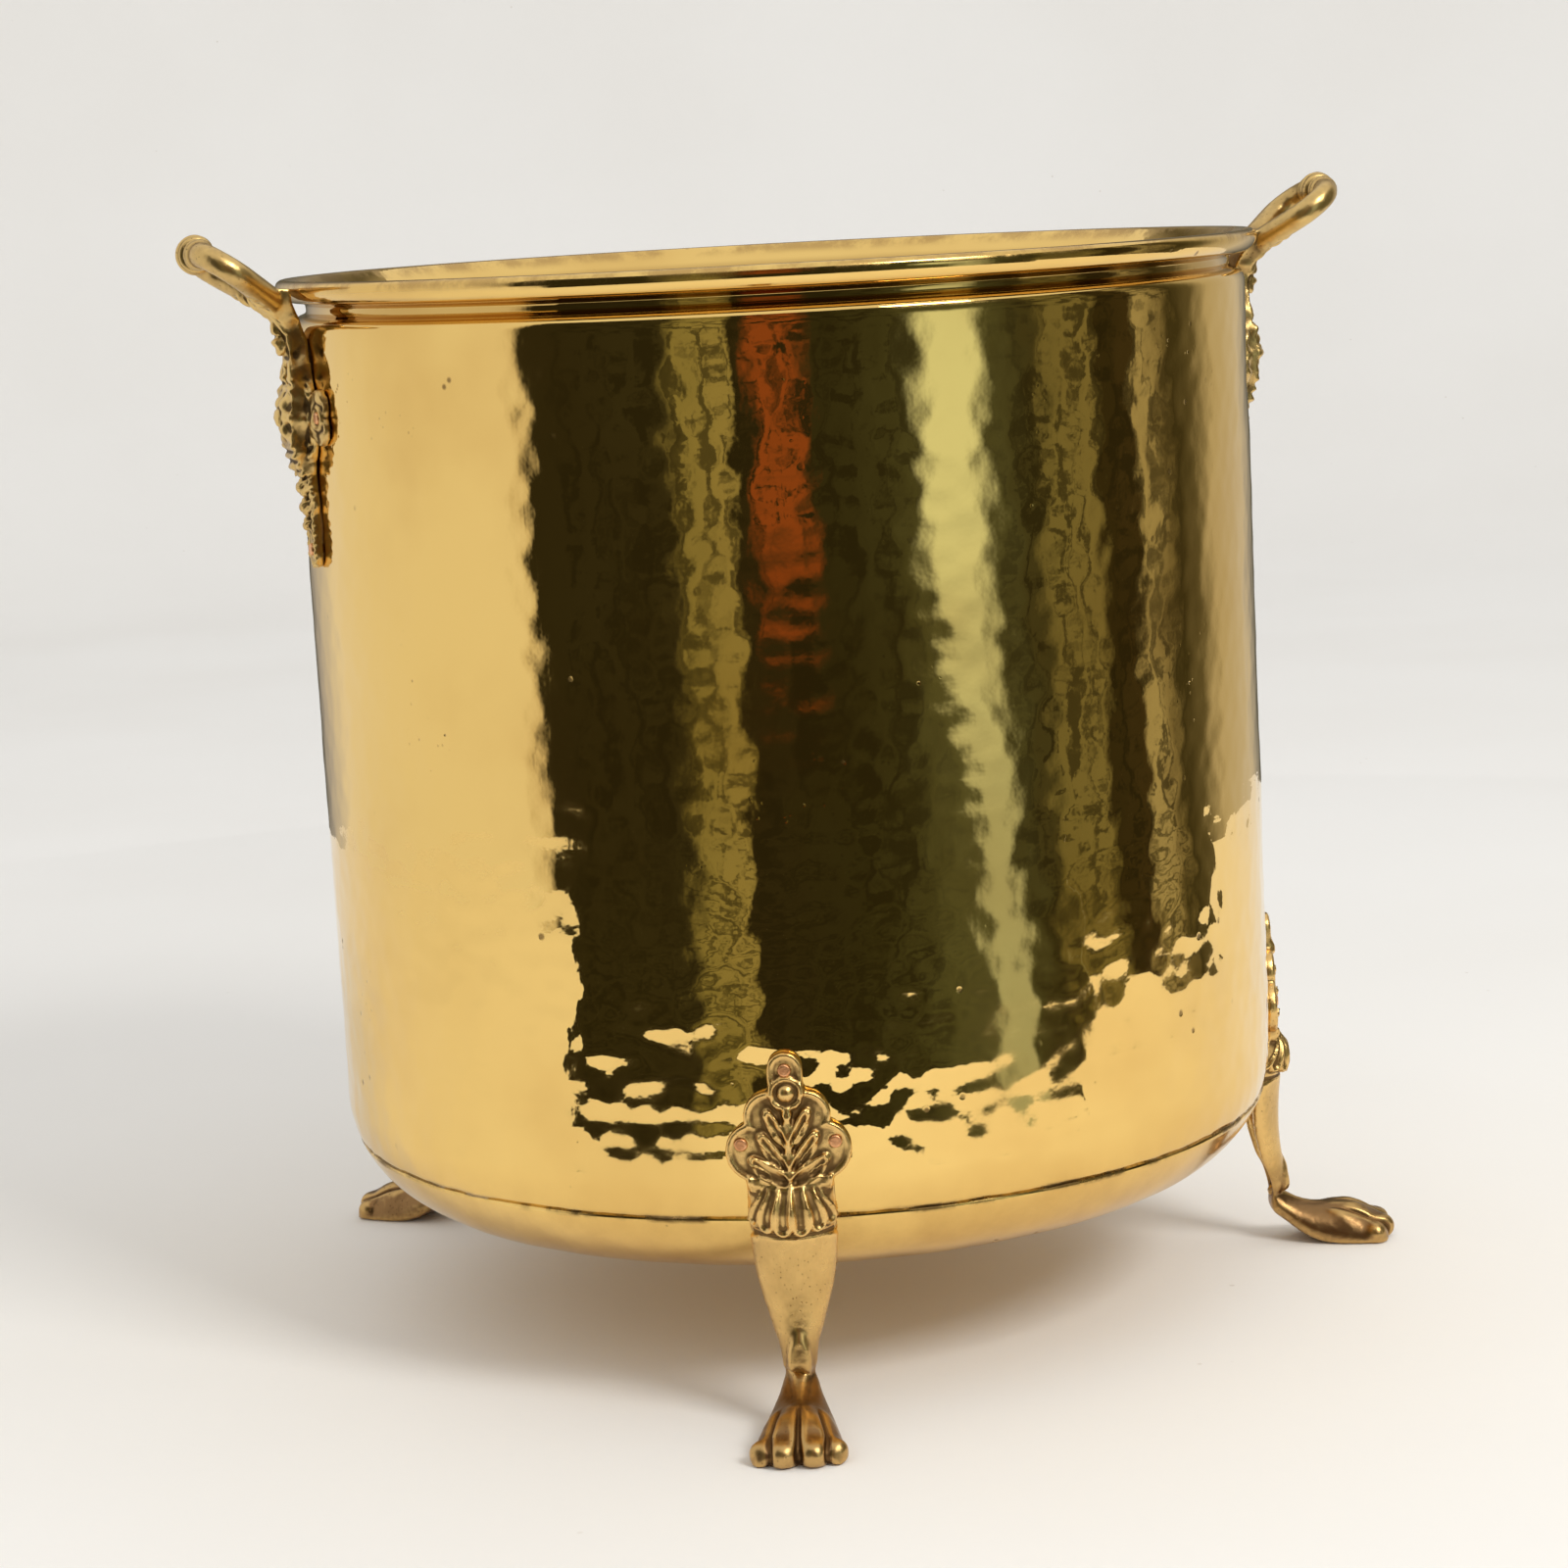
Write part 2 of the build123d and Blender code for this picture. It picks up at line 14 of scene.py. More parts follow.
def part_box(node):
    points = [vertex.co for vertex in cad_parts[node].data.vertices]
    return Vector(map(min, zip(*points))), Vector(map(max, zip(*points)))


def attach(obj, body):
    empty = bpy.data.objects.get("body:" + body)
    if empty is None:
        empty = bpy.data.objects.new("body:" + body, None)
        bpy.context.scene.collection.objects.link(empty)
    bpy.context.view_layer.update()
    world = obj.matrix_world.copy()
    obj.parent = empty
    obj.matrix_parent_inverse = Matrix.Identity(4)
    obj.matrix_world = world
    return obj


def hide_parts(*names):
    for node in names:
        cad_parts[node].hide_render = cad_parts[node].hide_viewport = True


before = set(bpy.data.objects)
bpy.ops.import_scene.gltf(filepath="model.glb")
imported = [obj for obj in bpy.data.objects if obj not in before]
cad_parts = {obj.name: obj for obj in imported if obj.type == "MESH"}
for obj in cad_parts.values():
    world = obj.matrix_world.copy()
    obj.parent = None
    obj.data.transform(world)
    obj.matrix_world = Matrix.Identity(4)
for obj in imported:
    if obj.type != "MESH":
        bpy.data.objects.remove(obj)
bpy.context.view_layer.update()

MM = 0.001
print("pieces in the frame:", len(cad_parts))

# %% [markdown]
# Everything turns about the bowl's axis. The box round the wall is the same all
# the way round, so the middle of that box is the axis. Each casting has one rivet
# on its own centre line, and that rivet tells us which way the casting faces.

# %% Find the axis and the way each casting faces
wall_low, wall_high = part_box("pot_wall")
AXIS_X = (wall_low.x + wall_high.x) / 2
AXIS_Y = (wall_low.y + wall_high.y) / 2


def facing(node):
    """Direction of a piece from the axis, in radians from the -Y side towards +X."""
    low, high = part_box(node)
    return math.atan2((low.x + high.x) / 2 - AXIS_X, AXIS_Y - (low.y + high.y) / 2)


castings = {f"leg_{name}": facing(f"rivet_leg_{name}_top") for name in ("front", "right", "rear")}
castings.update({f"handle_{name}": facing(f"rivet_handle_{name}_low") for name in ("left", "right")})
print("castings face:", {name: round(math.degrees(turn), 1) for name, turn in castings.items()})

# %% [markdown]
# The sizes below are the ones a coppersmith would mark on the sheet, in
# millimetres: the bowl's radius, its height, and the round corner between wall
# and base. The rim is a short list of points that later gets its corners softened.

# %% Sizes of the bowl
BOWL_R = 155.0
RIM_Z = 345.0
BASE_Z = 40.0
CORNER_R = 36.5
SHEET = 1.6
CORNER_Z = BASE_Z + CORNER_R
SEAM_TURN = 22.0
LAP_GAP = 0.05
# The neck and the rolled lip, as radius and drop below the rim.
rim_outside = [(155.0, 17.5), (154.9, 14.9), (154.1, 13.2), (152.6, 12.0), (150.9, 11.4), (150.0, 10.8),
               (150.0, 9.4), (150.3, 8.0), (152.8, 7.5), (155.9, 7.1), (157.6, 5.9), (158.9, 4.1),
               (159.4, 2.4), (158.9, 0.9), (157.4, 0.0), (155.8, 0.2), (154.4, 1.4), (152.0, 4.2),
               (149.6, 7.2), (148.5, 8.8), (148.4, 11.0), (149.6, 12.6), (151.6, 14.2), (152.9, 15.7),
               (153.4, 17.5)]


def soften(points, rounds=2):
    """Cut the corners of a line again and again until it runs smooth."""
    points = np.array(points, float)
    for _ in range(rounds):
        start, end = points[:-1], points[1:]
        cut = np.stack([0.75 * start + 0.25 * end, 0.25 * start + 0.75 * end], 1).reshape(-1, 2)
        points = np.vstack([points[:1], cut, points[-1:]])
    return points


rim_line = soften([(r, RIM_Z - drop) for r, drop in rim_outside], 1)
print("points round the rim:", len(rim_line))

# %% [markdown]
# A planished sheet is covered in shallow dents, each a little dish where the
# hammer landed. We scatter dent centres in staggered rows, measure from every
# point of the surface to its nearest dents, and push the metal in by a few tenths
# of a millimetre. That is enough to make reflections ripple.


# %% Hammer marks
DENTS_TOP = 420.0             # height of the highest row of dents, in millimetres
DENTS_BELOW = 4               # rows of dents that start under the floor
STRAY = 0.34                  # how far a blow lands from its place, in steps of the rows
DISH, DIMPLE = 0.62, 0.26     # depth of the wide dish, and of the dimple in its middle
DIMPLE_SPREAD = 0.16


def dents(along, up, pitch, around, seed):
    """Depth of hammer dents, about 0 to 1.5, at places along and up a surface that closes on itself."""
    random = np.random.default_rng(seed)
    columns = max(6, int(round(around / pitch)))
    wide = around / columns
    low = -DENTS_BELOW * pitch
    rows = int((DENTS_TOP - low) / pitch)
    shift = random.uniform(-STRAY, STRAY, (rows, columns, 2))
    force = random.uniform(0.15, 1.0, (rows, columns))
    column = np.floor(along / wide).astype(int)
    row = np.floor((up - low) / pitch).astype(int)
    nearest = np.full(along.shape, 9.0)
    soft = np.zeros(along.shape)
    for step_row in (-1, 0, 1):
        for step_column in (-2, -1, 0, 1, 2):
            r = np.clip(row + step_row, 0, rows - 1)
            c = column + step_column
            wrapped = c % columns
            centre_a = (c + 0.5 + 0.5 * (r % 2) + shift[r, wrapped, 0]) * wide
            centre_u = low + (r + 0.5 + shift[r, wrapped, 1]) * pitch
            gap = ((along - centre_a) / wide) ** 2 + ((up - centre_u) / pitch) ** 2
            nearest = np.minimum(nearest, gap)
            soft += force[r, wrapped] * np.exp(-gap / DIMPLE_SPREAD)
    return DISH * (1 - np.minimum(nearest, 1.0)) + DIMPLE * soft


def swells(along, up, around, shortest, longest, count, seed):
    """Slow waves in the sheet, about -1 to 1, that join up all the way round."""
    random = np.random.default_rng(seed)
    total = np.zeros(along.shape)
    for _ in range(count):
        length = random.uniform(shortest, longest)
        lean = random.uniform(0, math.tau)
        turns = round(around / length * math.cos(lean))
        rise = math.sin(lean) / length
        total += np.cos(math.tau * (turns * along / around + rise * up) + random.uniform(0, math.tau))
    return total / math.sqrt(count)


print("dent test:", dents(np.array([10.0, 14.0]), np.array([5.0, 9.0]), 8.0, 974.0, 1).round(2))

# %% [markdown]
# Sheet pieces are turned shapes: a line spun round the axis. The maker below
# takes rows of points, each row with its own number of columns, so that the
# hidden inside can be coarser than the mirror outside.


# %% Spin rows of points into a mesh
def put(name, vertices, faces, smooth=True):
    """Make an object from points in metres and lists of corners."""
    mesh = bpy.data.meshes.new(name)
    mesh.from_pydata(vertices, [], faces)
    mesh.polygons.foreach_set("use_smooth", [smooth] * len(mesh.polygons))
    mesh.update()
    made = bpy.data.objects.new(name, mesh)
    bpy.context.scene.collection.objects.link(made)
    return made


def spin(name, rows, columns, push, closed=True, lids=False):
    """Spin rows of (radius, height, normal out, normal up) round the axis.

    push moves points along the normal; closed joins the last row to the first; lids fills both end rows.
    """
    vertices, starts, faces = [], [], []
    for (radius, height, n_out, n_up), count in zip(rows, columns):
        turn = np.arange(count) * (math.tau / count)
        move = push(turn, radius, height, n_out)
        r = (radius + n_out * move) * MM
        z = np.broadcast_to((height + n_up * move) * MM, r.shape)
        starts.append(sum(len(v) for v in vertices))
        vertices.append(np.stack([AXIS_X + r * np.sin(turn), AXIS_Y - r * np.cos(turn), z], 1))
    pairs = list(zip(range(len(rows) - 1), range(1, len(rows))))
    if closed:
        pairs.append((len(rows) - 1, 0))
    for a, b in pairs:
        na, nb, sa, sb = columns[a], columns[b], starts[a], starts[b]
        if na == nb:
            faces += [(sa + i, sa + (i + 1) % na, sb + (i + 1) % na, sb + i) for i in range(na)]
        elif na == 2 * nb:
            faces += [(sa + 2 * i, sa + 2 * i + 1, sa + (2 * i + 2) % na, sb + (i + 1) % nb, sb + i)
                      for i in range(nb)]
        else:
            faces += [(sa + i, sa + (i + 1) % na, sb + (2 * i + 2) % nb, sb + 2 * i + 1, sb + 2 * i)
                      for i in range(na)]
    if lids:
        faces.append(tuple(reversed(range(columns[0]))))
        faces.append(tuple(range(starts[-1], starts[-1] + columns[-1])))
    return put(name, np.concatenate(vertices), faces)


def with_normals(points):
    """Add the outward direction of a line (on its right-hand side) to each of its points."""
    points = np.array(points, float)
    along = np.gradient(points, axis=0)
    along /= np.linalg.norm(along, axis=1, keepdims=True)
    return [(r, z, t[1], -t[0]) for (r, z), t in zip(points, along)]


print("rim normals:", len(with_normals(rim_line)))

# %% [markdown]
# The wall is the piece everyone looks at. Its outside has 480 columns, fine
# enough to hold each hammer mark as real shape. The lower third was worked
# harder where the sheet bends into the base, so the swells grow towards the foot.

# %% The pot's wall
AROUND = math.tau * BOWL_R


def corner_points(radius, start, end, count):
    """Points on the round corner between wall and base; 0 degrees is level, 90 is underneath."""
    turns = np.radians(np.linspace(start, end, count))
    return [(BOWL_R - CORNER_R + radius * math.cos(t), CORNER_Z - radius * math.sin(t)) for t in turns]


def blend_in(value, low, high):
    """0 below low, 1 above high, and a smooth step between."""
    share = np.clip((value - low) / (high - low), 0, 1)
    return share * share * (3 - 2 * share)


DENT_PITCH, DENT_DEPTH = 8.2, 0.36
NECK_START, NECK_END = 322.0, 331.0     # the hammer marks fade out between these heights
WORKED_LOW, WORKED_HIGH = 95.0, 185.0   # below these heights the sheet was worked harder


def wall_push(turn, radius, height, n_out):
    """How far the wall's metal moves outwards, in millimetres."""
    along = turn * BOWL_R
    up = np.full(turn.shape, float(height))
    body = 1 - blend_in(height, NECK_START, NECK_END)
    low = 1 - blend_in(height, WORKED_LOW, WORKED_HIGH)
    move = -DENT_DEPTH * dents(along, up, DENT_PITCH, AROUND, seed=5) * body * (0.8 + 0.5 * low)
    move += (0.10 * body + 0.02) * swells(along, up, AROUND, shortest=34.0, longest=90.0, count=12, seed=8)
    move += 0.075 * low * body * swells(along, up, AROUND, shortest=15.0, longest=26.0, count=10, seed=21)
    move += 0.05 * swells(along, up, AROUND, shortest=120.0, longest=320.0, count=5, seed=3)
    return move * (1.0 if n_out >= 0 else -0.8)


SEAM_GAP = 0.03               # degrees left open between the two sheets
BODY_ROWS = 134
FINE, COARSE = 480, 240       # columns outside and inside
outer = corner_points(CORNER_R, SEAM_TURN - SEAM_GAP, 1.0, 8)
outer += [(BOWL_R, z) for z in np.linspace(CORNER_Z, RIM_Z - 17.5, BODY_ROWS)]
inner_r = BOWL_R - SHEET
inner = [(inner_r, z) for z in np.linspace(RIM_Z - 22.0, CORNER_Z, 50)]
inner += corner_points(CORNER_R - SHEET, 4.0, SEAM_TURN, 5)
edge = corner_points(CORNER_R - 0.5, SEAM_TURN, SEAM_TURN, 1)
outer_rows = with_normals(outer + list(rim_line[1:]))
wall_rows = outer_rows + with_normals(inner) + [(edge[0][0], edge[0][1], 0.0, 0.0)]
wall_columns = [FINE] * len(outer_rows) + [COARSE] * len(inner) + [FINE]
pot_wall = spin("pot_wall_hammered", wall_rows, wall_columns, wall_push)
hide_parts("pot_wall")
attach(pot_wall, "root")
print("wall:", len(pot_wall.data.polygons), "faces")

# %% [markdown]
# The base is a second sheet, dished to carry the round corner on. Its edge
# stands up inside the wall as a soldered lap. Outside, the two sheets meet in a
# fine seam low on the corner.


# %% The pot's base
BEND_END = 20.0 + CORNER_R * math.radians(68)   # the round corner ends this far in from the seam's level


def base_push(turn, radius, height, n_out):
    """How far the base's metal moves along its normal, in millimetres."""
    along = turn * BOWL_R
    inwards = float(CORNER_Z - height + (BOWL_R - radius))
    up = np.full(turn.shape, inwards)
    keep = min(1.0, radius / 40.0)
    on_corner = 1 - blend_in(inwards, BEND_END - 1, BEND_END)
    move = -0.05 * dents(along, up, 9.0, AROUND, seed=12) * keep
    move += 0.11 * keep * swells(along, up, AROUND, shortest=22.0, longest=60.0, count=10, seed=15)
    return move * (0.6 + 0.4 * on_corner)


flat_r = BOWL_R - CORNER_R
MIDDLE_R = 0.6                # a tiny lid fills the middle of the base
under = [(r, BASE_Z) for r in np.linspace(MIDDLE_R, flat_r, 36)]
under += corner_points(CORNER_R, 88.0, SEAM_TURN + SEAM_GAP, 26)
lap_r = CORNER_R - SHEET - LAP_GAP
lap = corner_points(lap_r, SEAM_TURN, 0.0, 6) + [(flat_r + lap_r, CORNER_Z + 5.4)]
lap_in = [(flat_r + lap_r - 0.5, CORNER_Z + 6.0), (flat_r + lap_r - 1.2, CORNER_Z + 6.0)]
inside = [(flat_r + lap_r - SHEET, CORNER_Z + 5.2)] + corner_points(lap_r - SHEET, 0.0, SEAM_TURN + 5, 7)
inside += corner_points(CORNER_R - SHEET, SEAM_TURN + 8, 90.0, 16)
inside += [(r, BASE_Z + SHEET) for r in np.linspace(flat_r - 4, MIDDLE_R, 36)]
base_rows = with_normals(under) + with_normals(lap + lap_in) + with_normals(inside)
base_columns = [360] * len(under) + [360] * len(lap + lap_in) + [180] * len(inside)
pot_base = spin("pot_base_hammered", base_rows, base_columns, base_push, closed=False, lids=True)
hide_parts("pot_base")
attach(pot_base, "root")
print("base:", len(pot_base.data.polygons), "faces")

# %% [markdown]
# Castings come out of a sand mould, so no edge is sharp and the surface is a
# little grainy. We take the engineering shape, rebuild it from small even cells,
# soften it, and then press the relief into it with a height for every point.


# %% Measure a mesh
def normals_of(mesh):
    """The direction outwards at each point of a mesh."""
    flat = np.zeros(len(mesh.vertices) * 3)
    mesh.vertex_normals.foreach_get("vector", flat)
    return flat.reshape(-1, 3)


def neighbours(mesh, count):
    """A function that gives each point the average of the points joined to it."""
    edges = np.zeros(len(mesh.edges) * 2, int)
    mesh.edges.foreach_get("vertices", edges)
    a, b = edges.reshape(-1, 2).T
    touching = np.maximum(np.bincount(a, minlength=count) + np.bincount(b, minlength=count), 1)

    def around(values):
        columns = values.reshape(count, -1).T
        total = [np.bincount(a, column[b], count) + np.bincount(b, column[a], count) for column in columns]
        return (np.array(total) / touching).T.reshape(values.shape)

    return around


def store_hollows(mesh, co):
    """Keep on each point how deep it sits between its neighbours, for dirt and wear."""
    around = neighbours(mesh, len(co))
    wide = co
    for _ in range(6):
        wide = around(wide)
    hollow = ((wide - co) * normals_of(mesh)).sum(1) / MM
    for _ in range(2):
        hollow = 0.5 * hollow + 0.5 * around(hollow)
    layer = mesh.attributes.new("hollow", "FLOAT", "POINT")
    layer.data.foreach_set("value", hollow.astype(np.float32))


print("mesh measures ready")

# %% [markdown]
# The casting itself starts as a copy of the engineering mesh. Where melt says 1,
# the point moves towards its neighbours many times, as a worn ankle or toe does.

# %% Turn an engineering shape into a casting
MELT_ROUNDS, MELT_STEP = 70, 0.6
GRAIN_DEPTH = 0.05            # millimetres of sand grain


def remeshed(node, cell, rounds):
    """A copy of a piece, rebuilt from even cells and softened."""
    made = bpy.data.objects.new(node + "_cast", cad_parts[node].data.copy())
    bpy.context.scene.collection.objects.link(made)
    weld = made.modifiers.new("weld", "WELD")
    weld.merge_threshold = 1e-5
    cells = made.modifiers.new("cells", "REMESH")
    cells.mode = "VOXEL"
    cells.voxel_size = cell * MM
    soft = made.modifiers.new("soft", "SMOOTH")
    soft.factor = 0.5
    soft.iterations = rounds
    graph = bpy.context.evaluated_depsgraph_get()
    mesh = bpy.data.meshes.new_from_object(made.evaluated_get(graph))
    made.modifiers.clear()
    made.data = mesh
    return made


def casting(node, cell, relief, rounds, melt=None):
    """Make a casting from a piece: soften it, most where melt is 1, and raise or sink each point by relief."""
    made = remeshed(node, cell, rounds)
    mesh = made.data
    count = len(mesh.vertices)
    flat = np.zeros(count * 3)
    mesh.vertices.foreach_get("co", flat)
    co = flat.reshape(-1, 3)
    turn = castings[node]
    away = np.array([math.sin(turn), -math.cos(turn), 0.0])
    across = np.array([math.cos(turn), math.sin(turn), 0.0])
    axis = np.array([AXIS_X, AXIS_Y, 0.0])
    if melt is not None:
        place = (co - axis) / MM
        share = MELT_STEP * melt(place @ away, place[:, 2])[:, None]
        around = neighbours(mesh, count)
        for _ in range(MELT_ROUNDS):
            co = co + share * (around(co) - co)
        mesh.vertices.foreach_set("co", co.ravel())
        mesh.update()
    normal = normals_of(mesh)
    place = (co - axis) / MM
    height = relief(place @ away, place @ across, place[:, 2], normal @ away, normal[:, 2])
    grain = np.array([noise.noise(Vector(p) * 0.55) + 0.6 * noise.noise(Vector(p) * 1.3) for p in place])
    co = co + normal * ((height + GRAIN_DEPTH * grain) * MM)[:, None]
    mesh.vertices.foreach_set("co", co.ravel())
    mesh.polygons.foreach_set("use_smooth", [True] * len(mesh.polygons))
    mesh.update()
    store_hollows(mesh, co)
    return made


def ridge(value, centre, width):
    """A round ridge, 1 at the centre."""
    return np.exp(-(((value - centre) / width) ** 2))


def between(value, low, low_full, high_full, high):
    """1 between the two full levels, fading to 0 at low and high."""
    return blend_in(value, low, low_full) * (1 - blend_in(value, high_full, high))


print("ridge test:", round(float(ridge(0.5, 0.0, 1.0)), 3))

# %% [markdown]
# The leg is a small sculpture. Its plate has a raised border and a boss, three
# pairs of leaves on a stem, a fluted collar, a plain shank with an oval at the
# ankle, and a paw with four toes. Each of these is one term in a height map.

# %% The plate and its leaves
# Rises are millimetres above the level where the wall starts to bend; sides are from the leg's middle.
TONGUE_HALF, TONGUE_RISE = 5.3, 33.0    # the strip that holds the top rivet
UPPER_LOBE = (5.4, 19.0, 7.6)           # side, rise and radius
LOWER_LOBE = (9.8, 8.3, 9.0)
SKIRT_HALF = 13.0
SIDE_RIVET = (13.8, 10.8)               # side and rise
RIVET_CLEAR = 3.4                       # no border is pressed this close to a rivet
BOSS_RISE = 26.0
# Each leaf: its root, its tip and its half width.
leaves = (((0.5, -1.4), (11.4, 6.4), 2.5), ((0.5, 2.2), (8.4, 13.8), 1.9), ((0.5, 10.0), (6.2, 20.9), 1.6))


def plate_edge(wide, rise):
    """How far a point lies inside the plate's outline; below 0 is outside."""
    tongue = TONGUE_HALF - np.where(rise > TONGUE_RISE, np.hypot(wide, rise - TONGUE_RISE), wide)
    lobes = [size - np.hypot(wide - across, rise - level) for across, level, size in (UPPER_LOBE, LOWER_LOBE)]
    skirt = np.where(rise < LOWER_LOBE[1], SKIRT_HALF - wide, -9.0)
    return np.maximum.reduce([tongue, *lobes, skirt])


def plate_relief(wide, rise):
    """The plate's raised border, and the ring and chevron round its boss."""
    inside = plate_edge(wide, rise)
    side_rivet = ridge(np.hypot(wide - SIDE_RIVET[0], rise - SIDE_RIVET[1]), 0.0, RIVET_CLEAR)
    top_rivet = ridge(np.hypot(wide, rise - TONGUE_RISE), 0.0, RIVET_CLEAR)
    border = 0.55 * ridge(inside, 0.9, 0.6) - 0.25 * blend_in(inside, 1.5, 2.6)
    ring = np.hypot(wide, rise - BOSS_RISE)
    chevron = ridge(wide - 0.72 * (rise - 18.0), 0.0, 0.7) * between(rise, 17.5, 19.0, 23.0, 24.5)
    height = border * np.clip(1 - side_rivet - top_rivet, 0, 1)
    return height + 0.45 * ridge(ring, 4.4, 0.6) - 0.5 * ridge(ring, 3.3, 0.45) + 0.5 * chevron


def leaf_relief(wide, rise):
    """Three pairs of hollow leaves and the stem they grow from."""
    height = np.zeros(wide.shape)
    for (x0, z0), (x1, z1), half in leaves:
        length = math.hypot(x1 - x0, z1 - z0)
        ax, az = (x1 - x0) / length, (z1 - z0) / length
        along = (wide - x0) * ax + (rise - z0) * az
        share = np.clip(along / length, 0, 1)
        bow = 0.225 * half * np.sin(share * math.pi)
        off = (rise - z0) * ax - (wide - x0) * az + bow
        width = half * np.sin(math.pi * np.clip(0.1 + 0.86 * share, 0, 1)) ** 0.7
        rim = ridge(np.abs(off), width, 0.55)
        trough = ridge(off, 0.0, 0.55 * half) * blend_in(width, 0.6, 1.2)
        height += between(along, -0.5, 0.8, length - 0.4, length + 0.8) * (0.62 * rim - 0.85 * trough)
        height += 0.5 * ridge(np.hypot(wide - x1, rise - z1), 0.0, 1.0)
    stem = between(rise, -2.4, -1.0, 21.0, 22.5)
    return height + stem * (0.5 * ridge(wide, 0.0, 0.8) - 0.35 * ridge(wide, 1.9, 0.5))


print("leaf pairs:", len(leaves))

# %% The collar, the shank and the paw
COLLAR_HALF = 13.4
FLUTE_TURN, FLUTE_WIDE = 24.0, 5.4      # degrees round the collar, and millimetres at its foot
PAW_BACK, PAW_LONG = 156.0, 33.0        # distance from the axis, and length
grooves = ((0.0, 1.7), (8.7, 1.3), (-8.7, 1.3))                             # side and depth
toes = ((4.3, 1.0, 0.0), (-4.3, 1.0, 0.0), (11.6, 0.75, 4.0), (-11.6, 0.75, 4.0))   # side, size, set back


def collar_relief(side, rise):
    """Hollow flutes that fan out and end in a scalloped edge."""
    fan = COLLAR_HALF * (0.66 + 0.34 * blend_in(-rise, 1.0, 12.0))
    angle = np.degrees(np.arcsin(np.clip(side / fan, -1, 1)))
    across = ((angle / FLUTE_TURN + 20.0) % 1.0 - 0.5) * FLUTE_WIDE * fan / COLLAR_HALF
    lower = -13.9 + 3.0 * (side / COLLAR_HALF) ** 2
    end = np.hypot(across, np.minimum(rise - lower, 0.0))
    flute = 1 - blend_in(end, 0.8, 2.1)
    return 0.35 - flute + 0.45 * ridge(end, 2.35, 0.35) - 1.2 * blend_in(end, 2.6, 3.3)


def shank_relief(side, up, rise, front, upward):
    """Fuller flanks on the shank, and the oval at the ankle."""
    shank = blend_in(up, 20.0, 26.0) * (1 - blend_in(rise, -19.0, -16.5))
    flank = 1 - blend_in(np.abs(front), 0.15, 0.8)
    oval = np.hypot(side / 3.9, (up - 21.0) / 9.5)
    ankle = blend_in(np.maximum(front, upward), 0.2, 0.5) * blend_in(up, 11.0, 13.0)
    return shank * 1.5 * flank * blend_in(up, 24.0, 50.0) + ankle * 1.15 * (1 - blend_in(oval, 0.55, 1.1))


def paw_relief(out, side, up, front, upward):
    """Three grooves and four toes."""
    toe = side / np.clip((out - PAW_BACK) / PAW_LONG, 0.3, 1.0)
    paw = (1 - blend_in(up, 13.0, 18.0)) * blend_in(out, 168.0, 180.0)
    paw *= blend_in(np.maximum(front, upward), 0.0, 0.35)
    height = np.zeros(out.shape)
    for centre, depth in grooves:
        height -= depth * ridge(toe, centre, 0.85) * blend_in(out, 174.0, 186.0)
    for centre, size, back in toes:
        pad = 0.7 * ridge(out, 183.0 - back, 4.2) - 0.2 * ridge(out, 190.2 - back, 1.4)
        height += size * ridge(toe, centre, 3.0) * pad
        height += size * 0.5 * ridge(toe, centre, 2.8) * ridge(out, 176.5, 3.0)
    return paw * height


print("toes:", len(toes))


# %% The three cast legs
def leg_relief(out, side, up, front, upward):
    """Height of the leg's modelling, in millimetres."""
    wide = np.abs(side)
    rise = up - CORNER_Z
    plate = blend_in(front, 0.2, 0.6) * blend_in(rise, -2.6, -0.6)
    collar = blend_in(front, -0.1, 0.3) * between(rise, -18.0, -17.2, -3.4, -1.6)
    height = plate * (plate_relief(wide, rise) + leaf_relief(wide, rise))
    height += collar * collar_relief(side, rise)
    height += shank_relief(side, up, rise, front, upward)
    return height + paw_relief(out, side, up, front, upward)


def leg_melt(out, up):
    """Where the leg is rubbed smoothest: the ankle most, and the paw a little."""
    ankle = (1 - blend_in(up, 24.0, 30.0)) * (1 - blend_in(out, 172.0, 184.0))
    return np.maximum(ankle, 0.45 * (1 - blend_in(up, 22.0, 28.0)))


legs = {}
for name in ("front", "right", "rear"):
    leg = casting(f"leg_{name}", 0.55, leg_relief, 4, leg_melt)
    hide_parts(f"leg_{name}")
    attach(leg, "root")
    legs[name] = leg
    print("leg", name, "has", len(leg.data.polygons), "faces")

# %% [markdown]
# Each handle is a round bar with a knuckle in the middle, rooted in a leafy
# flange. Below that come a beaded stem, a flower between two curled petals that
# hold rivets, and a leaf-shaped tail. It is worked like the legs, with other terms.


# %% The parts of the handle
# Drops are millimetres below the rim; sides are from the handle's middle.
FLOWER_DROP = 42.0
CURL_SIDE = 16.4              # the middle of each curled petal
TAIL_RIVET_DROP = 84.0
LUMPS = 0.2                   # lumps of the ornament to the millimetre


def stem_relief(out, wide, drop):
    """The leafy flange under the bar, and the beaded stem."""
    flange = between(drop, 2.0, 5.0, 15.0, 18.0) * (1 - blend_in(out, 172.0, 176.0))
    stem = between(drop, 15.0, 18.0, 32.0, 35.0)
    beads = 0.55 * np.cos(math.tau * drop / 3.7) * ridge(wide, 0.0, 2.6)
    rails = 0.4 * ridge(wide, 5.4, 0.9) - 0.5 * ridge(wide, 3.4, 0.7)
    return flange * 0.55 * np.cos(math.tau * (wide - 0.3 * drop) / 3.4) + stem * (beads + rails)


